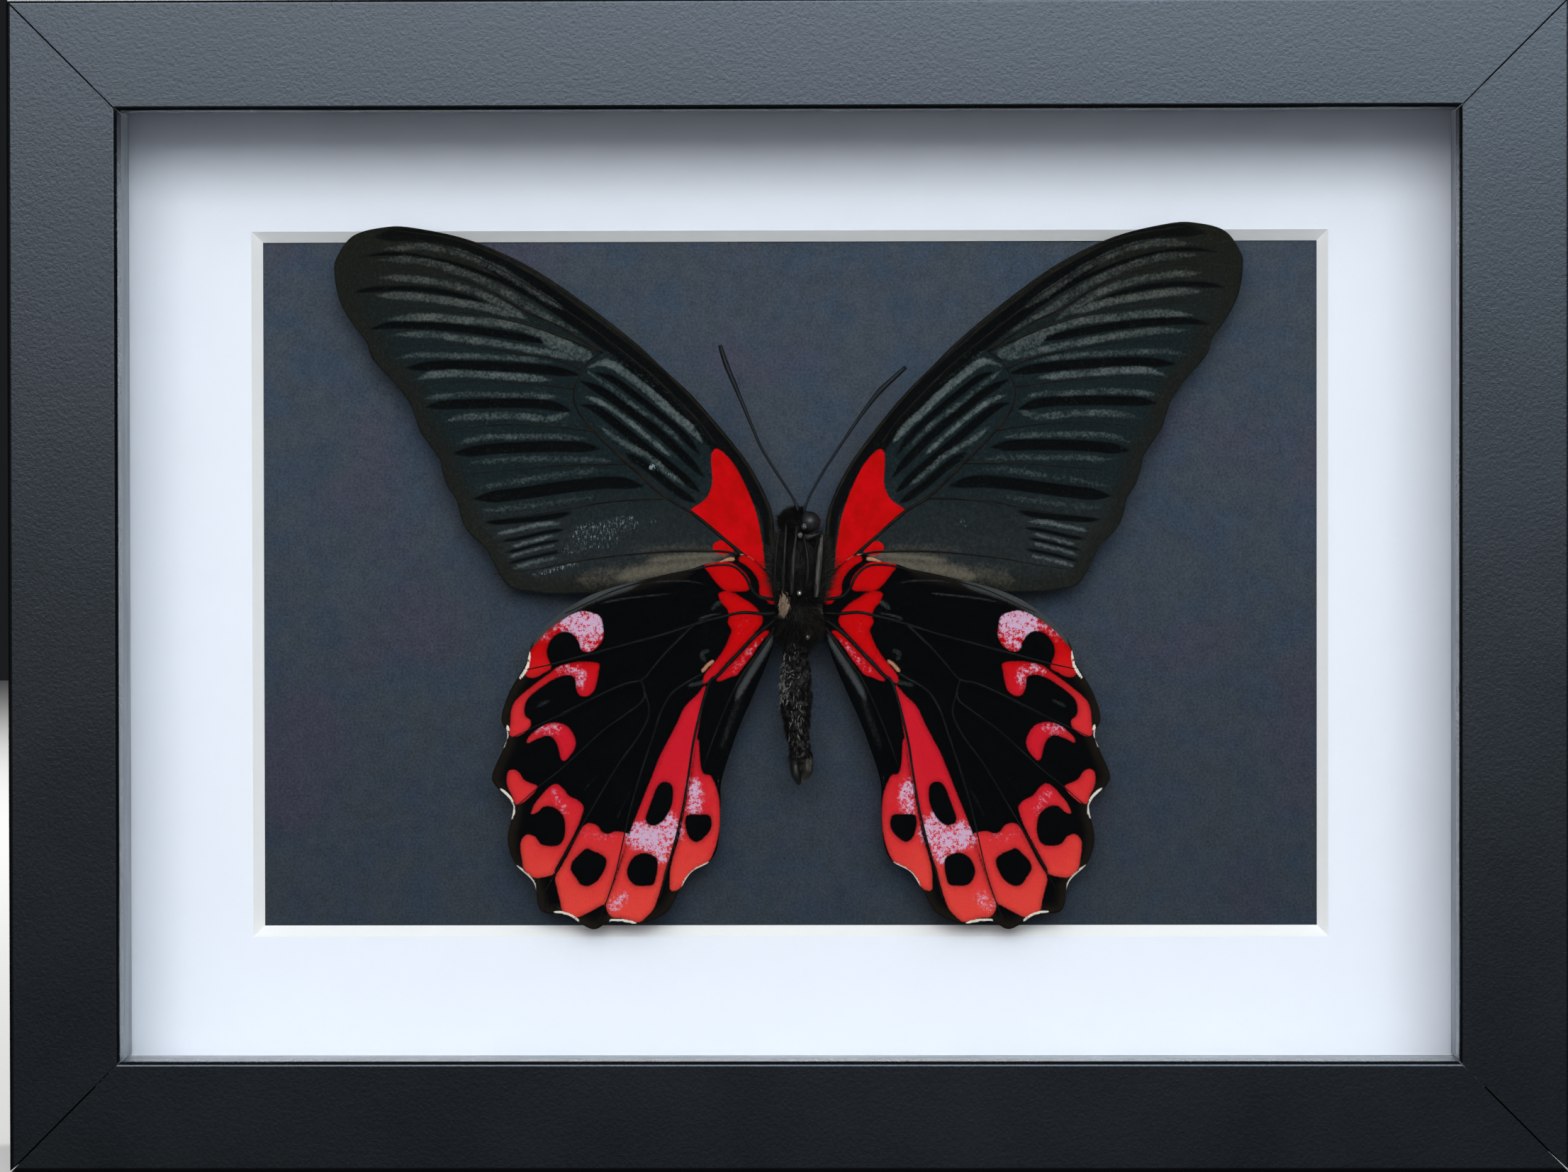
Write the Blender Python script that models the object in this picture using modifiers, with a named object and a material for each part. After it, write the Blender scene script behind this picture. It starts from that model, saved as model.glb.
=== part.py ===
"""Framed butterfly specimen: a deep black box frame with a window mat and a spread, papered-dry butterfly.

The frame stands upright on its lower edge, landscape, with its front facing -Y. The origin is the middle of
the footprint at the bottom. Lengths are in metres. Depths are counted backwards from the frame's front face,
and the insect's places are (across, up) from the middle of the frame.
"""

import math

import bmesh
import bpy
from mathutils import Matrix, Vector

MM = 0.001
ASSEMBLY = "framed_butterfly_specimen"

# Frame: outside size, and the section of its rails.
FRAME_WIDTH = 0.201
FRAME_HEIGHT = 0.151
FRAME_DEPTH = 0.035
RAIL_FACE = 0.0143
LIP_DEPTH = 0.004
REBATE = 0.0041
ARRIS_RADIUS = 0.0006
ARRIS_STEPS = 5
MITRE_GAP = 0.0002

# What the rebate holds, front to back, with the gap left between touching pieces.
GAP = 0.0003
GLASS_THICK = 0.002
SPACER_THICK = 0.0024
SPACER_DEEP = 0.0151
MAT_THICK = 0.0014
CARD_THICK = 0.0015
BACKBOARD_THICK = 0.003
WINDOW_WIDTH = 0.140
WINDOW_HEIGHT = 0.0909

SIGHT_WIDTH = FRAME_WIDTH - 2 * RAIL_FACE
SIGHT_HEIGHT = FRAME_HEIGHT - 2 * RAIL_FACE
SHEET_WIDTH = SIGHT_WIDTH + 2 * (REBATE - GAP)
SHEET_HEIGHT = SIGHT_HEIGHT + 2 * (REBATE - GAP)
GLASS_AT = LIP_DEPTH + GAP
SPACER_AT = GLASS_AT + GLASS_THICK + GAP
MAT_AT = SPACER_AT + SPACER_DEEP + GAP
CARD_AT = MAT_AT + MAT_THICK + GAP
BACKBOARD_AT = CARD_AT + CARD_THICK + GAP
HARDWARE_AT = BACKBOARD_AT + BACKBOARD_THICK + GAP

# Flat steel points that hold the backboard, half in a slit in the rail.
POINT_LENGTH = 0.011
POINT_WIDTH = 0.006
POINT_THICK = 0.0005
POINT_SUNK = 0.005

# Saw-toothed hanger and its two round-headed nails.
HANGER_LENGTH = 0.044
HANGER_HEIGHT = 0.008
HANGER_THICK = 0.001
HANGER_Z = 0.048
HANGER_TEETH = 9
TOOTH_HEIGHT = 0.0014
NAIL_SPACING = 0.034
NAIL_SHAFT_RADIUS = 0.0006
NAIL_HEAD_RADIUS = 0.002
NAIL_HEAD_HEIGHT = 0.0009
NAIL_SUNK = 0.0024

# Insect: body ellipsoids as (across, depth, up) centres and half sizes, and the two wing layers.
INSECT_X = 0.0015
THORAX_CENTRE = (0.0015, 0.0158, 0.0010)
THORAX_HALF = (0.0034, 0.0032, 0.0065)
HEAD_CENTRE = (0.0019, 0.0152, 0.0091)
HEAD_HALF = (0.0019, 0.0018, 0.0014)
EYE_RADIUS = 0.0013
EYE_OFFSET = (0.0011, -0.0007, -0.0001)
ABDOMEN_CENTRE = (0.0012, 0.0155, -0.0156)
ABDOMEN_HALF = (0.0019, 0.0021, 0.0096)
WING_THICK = 0.0003
HINDWING_AT = 0.0170
FOREWING_AT = HINDWING_AT + WING_THICK + GAP

# The left forewing is set a little wider and lower than the right one.
LEFT_FOREWING_SPREAD = 1.048
LEFT_FOREWING_DROOP = 0.010
LEFT_FOREWING_LIFT = 0.0002

# Pin through the thorax into the hidden foam block that holds the insect off the card.
PIN_RADIUS = 0.0003
PIN_X = 0.0014
PIN_Z = -0.0011
PIN_TIP_AT = 0.0123
PIN_END_AT = 0.0230
PIN_HOLE_RADIUS = 0.0005
BLOCK_WIDTH = 0.006
BLOCK_HEIGHT = 0.010
BLOCK_AT = 0.0193
BLOCK_END_AT = CARD_AT - GAP

LEG_RADIUS = 0.00026
LEG_CLEARANCE = 0.0005
ANTENNA_RADIUS = 0.00018
CLUB_RADIUS = 0.00032

SMOOTH_ANGLE = math.radians(35)
WELD_DISTANCE = 0.000002

# Wing edges on the right-hand side, in millimetres outwards from the body's axis and up from the frame's middle,
# from the costa's root round the tip, down the outer edge and back along the inner margin.
FOREWING_EDGE = [
    (3.7, 4.6), (3.6, 7.5), (4.1, 10.1), (5.6, 14.1), (7.8, 17.6), (10.3, 20.9), (13.5, 24.8), (17.1, 28.4),
    (20.6, 31.9), (27.1, 37.3), (34.2, 42.3), (41.4, 45.7), (48.5, 47.4), (52.1, 47.5), (56.0, 46.4),
    (58.1, 43.4), (58.3, 41.6), (57.6, 37.6), (55.6, 34.2), (53.3, 30.5), (49.4, 24.8), (47.4, 20.5),
    (44.6, 15.1), (42.8, 11.2), (41.4, 7.3), (38.5, 3.0), (37.5, 0.7), (35.8, -0.5), (31.2, -1.2),
    (24.0, -1.0), (12.0, -0.6), (5.0, -0.3), (3.9, 0.5),
]
HINDWING_EDGE = [
    (3.5, -2.6), (4.6, 0.0), (7.5, 1.9), (11.0, 2.5), (14.5, 2.0), (17.8, 1.3), (24.5, -0.3), (28.5, -1.8),
    (32.2, -4.2), (35.2, -7.3), (36.2, -10.3), (38.5, -14.3), (39.5, -17.7), (38.7, -19.7), (39.3, -21.7),
    (40.7, -25.0), (40.3, -26.5), (38.2, -28.7), (38.0, -30.0), (38.7, -33.5), (37.8, -36.7), (35.3, -39.3),
    (34.7, -42.3), (33.8, -43.3), (30.8, -43.7), (27.5, -45.5), (25.0, -44.4), (21.5, -44.8), (17.8, -43.3),
    (16.2, -40.7), (14.5, -38.0), (12.0, -36.5), (10.9, -34.0), (10.6, -29.0), (10.5, -26.0), (9.3, -22.0),
    (7.8, -18.0), (6.0, -14.0), (4.3, -10.0), (3.3, -6.8),
]

# Feelers from root to tip, and legs from hip to foot, in millimetres (across, up) from the frame's middle.
ANTENNA_PATHS = {
    "antenna_left": [(0.7, 11.1), (-0.5, 13.0), (-3.4, 17.6), (-4.9, 21.0), (-6.3, 24.4), (-8.1, 28.7), (-9.0, 31.4)],
    "antenna_right": [(2.5, 11.1), (4.3, 14.4), (5.7, 16.6), (8.6, 20.9), (10.4, 23.4), (12.1, 25.5), (15.4, 28.5)],
}
LEG_PATHS = {
    "leg_hind_left": [(-1.0, -1.8), (-1.5, 0.6), (-1.4, 3.0)],
    "leg_middle_left": [(-0.2, -1.2), (-0.5, 1.8), (-0.5, 5.0)],
    "leg_fore_left": [(0.6, -0.2), (0.6, 2.8), (0.7, 5.6)],
    "leg_fore_right": [(2.3, 0.4), (2.5, 3.0), (2.5, 5.4)],
    "leg_middle_right": [(3.5, -1.2), (3.7, 2.0), (3.7, 4.8)],
    "leg_hind_right": [(4.2, -1.8), (4.5, 0.6), (4.4, 3.0)],
}


def clear_scene():
    for found in list(bpy.data.objects):
        bpy.data.objects.remove(found)


def new_collection(name):
    made = bpy.data.collections.new(name)
    bpy.context.scene.collection.children.link(made)
    return made


def new_material(name, colour, roughness, metallic=0.0):
    material = bpy.data.materials.new(name)
    material.use_nodes = True
    shader = material.node_tree.nodes["Principled BSDF"]
    shader.inputs["Base Color"].default_value = (*colour, 1.0)
    shader.inputs["Roughness"].default_value = roughness
    shader.inputs["Metallic"].default_value = metallic
    return material


def add_object(name, mesh, collection, material=None):
    made = bpy.data.objects.new(name, mesh)
    collection.objects.link(made)
    if material:
        mesh.materials.clear()
        mesh.materials.append(material)
    return made


def place(across, depth, up):
    """World point from a distance across, a depth behind the front face and a height above the frame's middle."""
    return Vector((across, depth - FRAME_DEPTH / 2, up + FRAME_HEIGHT / 2))


def shade_round(mesh):
    mesh.shade_smooth()
    mesh.set_sharp_from_angle(angle=SMOOTH_ANGLE)


def box(name, collection, material, across, depth, up):
    """Box between pairs of limits, each pair as (low, high)."""
    low = place(across[0], depth[0], up[0])
    high = place(across[1], depth[1], up[1])
    mesh = bpy.data.meshes.new(name)
    shape = bmesh.new()
    bmesh.ops.create_cube(shape, size=1.0)
    bmesh.ops.scale(shape, verts=shape.verts, vec=high - low)
    bmesh.ops.translate(shape, verts=shape.verts, vec=(low + high) / 2)
    shape.to_mesh(mesh)
    shape.free()
    return add_object(name, mesh, collection, material)


def ellipsoid(name, collection, material, centre, half, segments=22, rings=14):
    mesh = bpy.data.meshes.new(name)
    shape = bmesh.new()
    bmesh.ops.create_uvsphere(shape, u_segments=segments, v_segments=rings, radius=1.0)
    bmesh.ops.scale(shape, verts=shape.verts, vec=half)
    bmesh.ops.translate(shape, verts=shape.verts, vec=place(*centre))
    shape.to_mesh(mesh)
    shape.free()
    shade_round(mesh)
    return add_object(name, mesh, collection, material)


def cylinder(name, collection, radius, across, up, depth, segments=16):
    """Cylinder along Y between two depths."""
    mesh = bpy.data.meshes.new(name)
    shape = bmesh.new()
    length = depth[1] - depth[0]
    bmesh.ops.create_cone(
        shape, cap_ends=True, segments=segments, radius1=radius, radius2=radius, depth=length
    )
    turn = Matrix.Rotation(math.pi / 2, 4, "X")
    bmesh.ops.transform(shape, matrix=turn, verts=shape.verts)
    bmesh.ops.translate(shape, verts=shape.verts, vec=place(across, sum(depth) / 2, up))
    shape.to_mesh(mesh)
    shape.free()
    return add_object(name, mesh, collection)


def boolean(target, tool, operation="DIFFERENCE"):
    modifier = target.modifiers.new(operation.title() + "_" + tool.name, "BOOLEAN")
    modifier.operation = operation
    modifier.object = tool
    modifier.solver = "EXACT"


def make_cutter(obj):
    obj.hide_render = True
    obj.display_type = "WIRE"
    return obj


def mesh_from_curve(curve_object, material):
    """Turns a curve object with filled caps into a welded mesh object of the same name, in place."""
    bpy.context.view_layer.update()
    graph = bpy.context.evaluated_depsgraph_get()
    name = curve_object.name
    collection = curve_object.users_collection[0]
    mesh = bpy.data.meshes.new_from_object(curve_object.evaluated_get(graph))
    matrix = curve_object.matrix_world.copy()
    data = curve_object.data
    bpy.data.objects.remove(curve_object)
    bpy.data.curves.remove(data)
    shape = bmesh.new()
    shape.from_mesh(mesh)
    bmesh.ops.remove_doubles(shape, verts=shape.verts, dist=WELD_DISTANCE)
    bmesh.ops.recalc_face_normals(shape, faces=shape.faces)
    shape.to_mesh(mesh)
    shape.free()
    mesh.name = name
    made = add_object(name, mesh, collection, material)
    made.matrix_world = matrix
    return made


def flat_solid(name, collection, material, outline, thickness, matrix, rounded=False, steps=3):
    """Flat piece from a closed outline in metres. A rounded outline runs smoothly through its points."""
    curve = bpy.data.curves.new(name, "CURVE")
    curve.dimensions = "2D"
    curve.fill_mode = "BOTH"
    curve.extrude = thickness / 2
    curve.resolution_u = steps
    if rounded:
        spline = curve.splines.new("BEZIER")
        spline.bezier_points.add(len(outline) - 1)
        for knot, (x, y) in zip(spline.bezier_points, outline):
            knot.co = (x, y, 0)
            knot.handle_left_type = "AUTO"
            knot.handle_right_type = "AUTO"
    else:
        spline = curve.splines.new("POLY")
        spline.points.add(len(outline) - 1)
        for knot, (x, y) in zip(spline.points, outline):
            knot.co = (x, y, 0, 1)
    spline.use_cyclic_u = True
    made = bpy.data.objects.new(name, curve)
    collection.objects.link(made)
    made.matrix_world = matrix
    return mesh_from_curve(made, material)


def upright(depth):
    """Matrix that stands a flat outline up, facing the front, centred at a depth on the frame's middle."""
    return Matrix.Translation(place(0, depth, 0)) @ Matrix.Rotation(math.pi / 2, 4, "X")


def rod(name, collection, material, path, radii):
    """Round tube with filled caps along a path of world points, with a radius at each point."""
    curve = bpy.data.curves.new(name, "CURVE")
    curve.dimensions = "3D"
    curve.bevel_depth = 1.0
    curve.bevel_resolution = 2
    curve.use_fill_caps = True
    spline = curve.splines.new("POLY")
    spline.points.add(len(path) - 1)
    for knot, point, radius in zip(spline.points, path, radii):
        knot.co = (*point, 1)
        knot.radius = radius
    made = bpy.data.objects.new(name, curve)
    collection.objects.link(made)
    made = mesh_from_curve(made, material)
    shade_round(made.data)
    return made


def smooth_path(points, steps):
    """Points along a Catmull-Rom curve through the given ones."""
    padded = [2 * points[0] - points[1], *points, 2 * points[-1] - points[-2]]
    found = []
    for a, b, c, d in zip(padded, padded[1:], padded[2:], padded[3:]):
        for step in range(steps):
            t = step / steps
            found.append(
                0.5 * (2 * b + (c - a) * t + (2 * a - 5 * b + 4 * c - d) * t**2 + (3 * b - a - 3 * c + d) * t**3)
            )
    return [*found, points[-1]]


def rail_section():
    """Section of a rail as (distance in from the outer edge, depth): an L with rounded front arrises."""
    corners = [(ARRIS_RADIUS, math.pi, 1.5 * math.pi), (RAIL_FACE - ARRIS_RADIUS, 1.5 * math.pi, 2 * math.pi)]
    section = []
    for middle, start, end in corners:
        for step in range(ARRIS_STEPS + 1):
            angle = start + (end - start) * step / ARRIS_STEPS
            section.append(
                (middle + ARRIS_RADIUS * math.cos(angle), ARRIS_RADIUS + ARRIS_RADIUS * math.sin(angle))
            )
    section.append((RAIL_FACE, LIP_DEPTH))
    section.append((RAIL_FACE - REBATE, LIP_DEPTH))
    section.append((RAIL_FACE - REBATE, FRAME_DEPTH))
    section.append((0.0, FRAME_DEPTH))
    return section


def make_rail(name, collection, material, length, half_across, inwards):
    """Rail of a given length, whose outer edge lies half_across from the frame's middle.

    inwards is the unit vector from its outer edge towards the opening.
    """
    along = inwards.cross(Vector((0, 1, 0)))
    start = place(0, 0, 0) - inwards * half_across
    matrix = Matrix.Translation(start) @ Matrix((inwards, (0, 1, 0), along)).transposed().to_4x4()
    rail = flat_solid(name, collection, material, rail_section(), length, matrix)
    rail.data.transform(rail.matrix_world)
    rail.matrix_world = Matrix.Identity(4)
    shape = bmesh.new()
    shape.from_mesh(rail.data)
    for end in (-1, 1):
        corner = start + along * end * length / 2
        normal = (along * end + inwards).normalized()
        cut = bmesh.ops.bisect_plane(
            shape,
            geom=[*shape.verts, *shape.edges, *shape.faces],
            plane_co=corner - normal * MITRE_GAP / 2,
            plane_no=normal,
            clear_outer=True,
        )
        edges = [e for e in cut["geom_cut"] if isinstance(e, bmesh.types.BMEdge)]
        bmesh.ops.contextual_create(shape, geom=edges)
    bmesh.ops.recalc_face_normals(shape, faces=shape.faces)
    shape.to_mesh(rail.data)
    shape.free()
    shade_round(rail.data)
    return rail


def make_frame(parts):
    """Four mitred and rebated rails."""
    lacquer = new_material("black_lacquer", (0.012, 0.013, 0.014), 0.38)
    half_width = FRAME_WIDTH / 2
    half_height = FRAME_HEIGHT / 2
    return {
        "rail_top": make_rail("rail_top", parts, lacquer, FRAME_WIDTH, half_height, Vector((0, 0, -1))),
        "rail_bottom": make_rail("rail_bottom", parts, lacquer, FRAME_WIDTH, half_height, Vector((0, 0, 1))),
        "rail_left": make_rail("rail_left", parts, lacquer, FRAME_HEIGHT, half_width, Vector((1, 0, 0))),
        "rail_right": make_rail("rail_right", parts, lacquer, FRAME_HEIGHT, half_width, Vector((-1, 0, 0))),
    }


def make_sheets(parts, cutters):
    """Glass, spacer strips, window mat, backing card and backboard."""
    half_width = SHEET_WIDTH / 2
    half_height = SHEET_HEIGHT / 2
    whole = (-half_width, half_width), (-half_height, half_height)

    def sheet(name, material, at, thick):
        return box(name, parts, material, whole[0], (at, at + thick), whole[1])

    sheet("glass", new_material("clear_glass", (0.9, 0.95, 0.93), 0.02), GLASS_AT, GLASS_THICK)

    strip = new_material("spacer_board", (0.62, 0.65, 0.66), 0.8)
    depth = (SPACER_AT, SPACER_AT + SPACER_DEEP)
    inner_height = half_height - SPACER_THICK
    inner_width = half_width - SPACER_THICK
    box("spacer_top", parts, strip, whole[0], depth, (inner_height, half_height))
    box("spacer_bottom", parts, strip, whole[0], depth, (-half_height, -inner_height))
    upright_span = (-inner_height + GAP, inner_height - GAP)
    box("spacer_left", parts, strip, (-half_width, -inner_width), depth, upright_span)
    box("spacer_right", parts, strip, (inner_width, half_width), depth, upright_span)

    mat = sheet("window_mat", new_material("mat_board", (0.86, 0.89, 0.93), 0.85), MAT_AT, MAT_THICK)
    boolean(mat, bevelled_window(cutters))

    sheet("backing_card", new_material("slate_card", (0.06, 0.07, 0.09), 0.9), CARD_AT, CARD_THICK)
    return sheet("backboard", new_material("fibreboard", (0.30, 0.20, 0.12), 0.8), BACKBOARD_AT, BACKBOARD_THICK)


def bevelled_window(cutters):
    """Four-sided frustum that cuts the mat's window with sides at 45 degrees, wider towards the front."""
    reach = MAT_THICK
    narrow = (WINDOW_WIDTH / 2 - reach, WINDOW_HEIGHT / 2 - reach)
    wide = (WINDOW_WIDTH / 2 + 2 * reach, WINDOW_HEIGHT / 2 + 2 * reach)
    mesh = bpy.data.meshes.new("window_cutter")
    shape = bmesh.new()
    bmesh.ops.create_cube(shape, size=2.0)
    front = place(0, MAT_AT - reach, 0)
    back = place(0, MAT_AT + 2 * reach, 0)
    for corner in shape.verts:
        half = wide if corner.co.y < 0 else narrow
        middle = front if corner.co.y < 0 else back
        corner.co = middle + Vector((corner.co.x * half[0], 0, corner.co.z * half[1]))
    shape.to_mesh(mesh)
    shape.free()
    return make_cutter(add_object("window_cutter", mesh, cutters))


def make_points(parts, cutters, rails):
    """Six flat steel points, each half in a slit cut in its rail's rebate wall."""
    steel = new_material("point_steel", (0.55, 0.56, 0.58), 0.35, 1.0)
    wall_x = FRAME_WIDTH / 2 - RAIL_FACE + REBATE
    wall_z = FRAME_HEIGHT / 2 - RAIL_FACE + REBATE
    spread = SHEET_WIDTH / 4
    half = POINT_WIDTH / 2
    free = POINT_LENGTH - POINT_SUNK
    seats = [
        ("point_top_left", "rail_top", (-spread, wall_z), (0, 1)),
        ("point_top_right", "rail_top", (spread, wall_z), (0, 1)),
        ("point_bottom_left", "rail_bottom", (-spread, -wall_z), (0, -1)),
        ("point_bottom_right", "rail_bottom", (spread, -wall_z), (0, -1)),
        ("point_left", "rail_left", (-wall_x, 0), (-1, 0)),
        ("point_right", "rail_right", (wall_x, 0), (1, 0)),
    ]
    outline = [(-free, -half), (0, -half), (POINT_SUNK, 0), (0, half), (-free, half)]
    depth = (HARDWARE_AT - GAP, HARDWARE_AT + POINT_THICK + GAP)
    for name, rail, wall, out in seats:
        wall = Vector(wall)
        out = Vector(out)
        side = Vector((-out.y, out.x))
        turned = [wall + out * a + side * b for a, b in outline]
        flat_solid(name, parts, steel, turned, POINT_THICK, upright(HARDWARE_AT + POINT_THICK / 2))
        near = wall - out * GAP - side * (half + GAP)
        far = wall + out * (POINT_SUNK + GAP) + side * (half + GAP)
        across = sorted((near.x, far.x))
        up = sorted((near.y, far.y))
        boolean(rails[rail], make_cutter(box("slit_" + name, cutters, None, across, depth, up)))


def make_hanger(parts, cutters, backboard):
    """Saw-toothed plate on the backboard, held by two nails with domed heads."""
    brass = new_material("hanger_brass", (0.60, 0.45, 0.20), 0.35, 1.0)
    left = -HANGER_LENGTH / 2
    low = HANGER_Z - HANGER_HEIGHT / 2
    high = HANGER_Z + HANGER_HEIGHT / 2
    pitch = HANGER_LENGTH / 2 / HANGER_TEETH
    outline = [(left, high), (left, low)]
    for tooth in range(HANGER_TEETH):
        start = -HANGER_LENGTH / 4 + tooth * pitch
        outline.extend([(start, low), (start + pitch / 2, low + TOOTH_HEIGHT)])
    outline.extend([(HANGER_LENGTH / 4, low), (-left, low), (-left, high)])
    hanger = flat_solid("hanger", parts, brass, outline, HANGER_THICK, upright(HARDWARE_AT + HANGER_THICK / 2))
    hole_depth = (HARDWARE_AT - GAP - NAIL_SUNK - GAP, HARDWARE_AT + HANGER_THICK + GAP)
    for name, across in (("nail_left", -NAIL_SPACING / 2), ("nail_right", NAIL_SPACING / 2)):
        hole = make_cutter(
            cylinder(name + "_hole", cutters, NAIL_SHAFT_RADIUS + GAP, across, HANGER_Z, hole_depth)
        )
        boolean(hanger, hole)
        boolean(backboard, hole)
        make_nail(name, parts, brass, across)


def make_nail(name, parts, material, across):
    """Nail turned about its own axis, shaft towards the front, domed head against the hanger."""
    seat = HARDWARE_AT + HANGER_THICK + GAP
    tip = HARDWARE_AT - GAP - NAIL_SUNK
    profile = [(0.0, seat + NAIL_HEAD_HEIGHT)]
    for step in range(1, 4):
        angle = math.pi / 2 * step / 4
        profile.append((NAIL_HEAD_RADIUS * math.sin(angle), seat + NAIL_HEAD_HEIGHT * math.cos(angle)))
    profile.extend([(NAIL_HEAD_RADIUS, seat), (NAIL_SHAFT_RADIUS, seat), (NAIL_SHAFT_RADIUS, tip), (0.0, tip)])
    turned_piece(name, parts, material, profile, across, HANGER_Z)


def turned_piece(name, parts, material, profile, across, up, steps=16):
    """Round piece from a profile of (radius, depth) points, from its back end on the axis to its front end."""
    mesh = bpy.data.meshes.new(name)
    shape = bmesh.new()
    knots = [shape.verts.new((radius, 0, depth)) for radius, depth in profile]
    for a, b in zip(knots, knots[1:]):
        shape.edges.new((a, b))
    shape.to_mesh(mesh)
    shape.free()
    shade_round(mesh)
    made = add_object(name, mesh, parts, material)
    middle = place(across, 0, up)
    made.matrix_world = Matrix.Translation(middle) @ Matrix.Rotation(-math.pi / 2, 4, "X")
    screw = made.modifiers.new("Turn", "SCREW")
    screw.axis = "Z"
    screw.steps = steps
    screw.render_steps = steps
    screw.use_merge_vertices = True
    screw.merge_threshold = MM / 1000
    screw.use_normal_calculate = False
    return made


def make_body(parts, cutters):
    """Thorax, head with its two round eyes, and abdomen."""
    fur = new_material("body_fur", (0.035, 0.030, 0.026), 0.9)
    thorax = ellipsoid("thorax", parts, fur, THORAX_CENTRE, THORAX_HALF)
    hole = cylinder("pin_hole", cutters, PIN_HOLE_RADIUS, PIN_X, PIN_Z, (PIN_TIP_AT - 2 * MM, BLOCK_AT))
    boolean(thorax, make_cutter(hole))
    head = ellipsoid("head", parts, fur, HEAD_CENTRE, HEAD_HALF)
    for name, side in (("eye_left", -1), ("eye_right", 1)):
        centre = [a + b * c for a, b, c in zip(HEAD_CENTRE, EYE_OFFSET, (side, 1, 1))]
        eye = ellipsoid(name, cutters, None, centre, [EYE_RADIUS] * 3, segments=16, rings=10)
        boolean(head, make_cutter(eye), "UNION")
    ellipsoid("abdomen", parts, fur, ABDOMEN_CENTRE, ABDOMEN_HALF)


def make_wings(parts):
    """Two forewings, and two hindwings lying in front of them."""
    black = new_material("wing_black", (0.02, 0.022, 0.022), 0.7)
    red = new_material("wing_red", (0.20, 0.03, 0.03), 0.7)
    for side, word in ((-1, "left"), (1, "right")):
        spread = LEFT_FOREWING_SPREAD if side < 0 else 1.0
        droop = LEFT_FOREWING_DROOP if side < 0 else 0.0
        lift = LEFT_FOREWING_LIFT if side < 0 else 0.0
        fore = [
            (INSECT_X + side * out * spread * MM, (up - droop * out) * MM + lift) for out, up in FOREWING_EDGE
        ]
        hind = [(INSECT_X + side * out * MM, up * MM) for out, up in HINDWING_EDGE]
        layers = (
            ("forewing_" + word, black, fore, FOREWING_AT),
            ("hindwing_" + word, red, hind, HINDWING_AT),
        )
        for name, material, outline, at in layers:
            flat_solid(name, parts, material, outline, WING_THICK, upright(at + WING_THICK / 2), rounded=True)


def thorax_front(across, up):
    """Depth of the thorax's front surface at a point, or of its middle beyond its edge."""
    x = (across - THORAX_CENTRE[0]) / THORAX_HALF[0]
    z = (up - THORAX_CENTRE[2]) / THORAX_HALF[2]
    return THORAX_CENTRE[1] - THORAX_HALF[1] * math.sqrt(max(0.0, 1 - x * x - z * z))


def make_limbs(parts):
    """Six legs folded along the thorax, and two clubbed antennae reaching forward in the plane of the wings."""
    chitin = new_material("chitin", (0.05, 0.045, 0.04), 0.45)
    for name, path in LEG_PATHS.items():
        points = []
        for point in smooth_path([Vector((across, up)) * MM for across, up in path], 3):
            points.append(place(point.x, thorax_front(point.x, point.y) - LEG_RADIUS - LEG_CLEARANCE, point.y))
        rod(name, parts, chitin, points, [LEG_RADIUS] * len(points))
    for name, path in ANTENNA_PATHS.items():
        points = smooth_path([place(across * MM, HEAD_CENTRE[1], up * MM) for across, up in path], 3)
        last = len(points) - 1
        radii = [ANTENNA_RADIUS + (CLUB_RADIUS - ANTENNA_RADIUS) * (step / last) ** 4 for step in range(last + 1)]
        rod(name, parts, chitin, points, radii)


def make_mounting(parts, cutters):
    """Headless steel pin through the thorax, and the foam block that it stands in."""
    steel = new_material("pin_steel", (0.75, 0.76, 0.78), 0.2, 1.0)
    foam = new_material("grey_foam", (0.10, 0.11, 0.13), 0.95)
    middle_x = THORAX_CENTRE[0]
    middle_z = THORAX_CENTRE[2]
    block = box(
        "support_block",
        parts,
        foam,
        (middle_x - BLOCK_WIDTH / 2, middle_x + BLOCK_WIDTH / 2),
        (BLOCK_AT, BLOCK_END_AT),
        (middle_z - BLOCK_HEIGHT / 2, middle_z + BLOCK_HEIGHT / 2),
    )
    bore = cylinder(
        "block_bore", cutters, PIN_HOLE_RADIUS, PIN_X, PIN_Z, (BLOCK_AT - MM, PIN_END_AT + GAP)
    )
    boolean(block, make_cutter(bore))
    tip = PIN_RADIUS / 2
    profile = [
        (0.0, PIN_END_AT),
        (PIN_RADIUS, PIN_END_AT),
        (PIN_RADIUS, PIN_TIP_AT + tip),
        (PIN_RADIUS * 0.7, PIN_TIP_AT + tip * 0.3),
        (0.0, PIN_TIP_AT),
    ]
    turned_piece("insect_pin", parts, steel, profile, PIN_X, PIN_Z, steps=12)


def main():
    clear_scene()
    parts = new_collection(ASSEMBLY)
    cutters = new_collection("cutters")
    rails = make_frame(parts)
    backboard = make_sheets(parts, cutters)
    make_points(parts, cutters, rails)
    make_hanger(parts, cutters, backboard)
    make_body(parts, cutters)
    make_wings(parts)
    make_limbs(parts)
    make_mounting(parts, cutters)


main()
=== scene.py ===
"""Framed butterfly specimen: finishes of the box frame and its sheets, and the spread insect inside it."""

import math

import bpy
import numpy as np
from mathutils import Matrix, Vector


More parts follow.
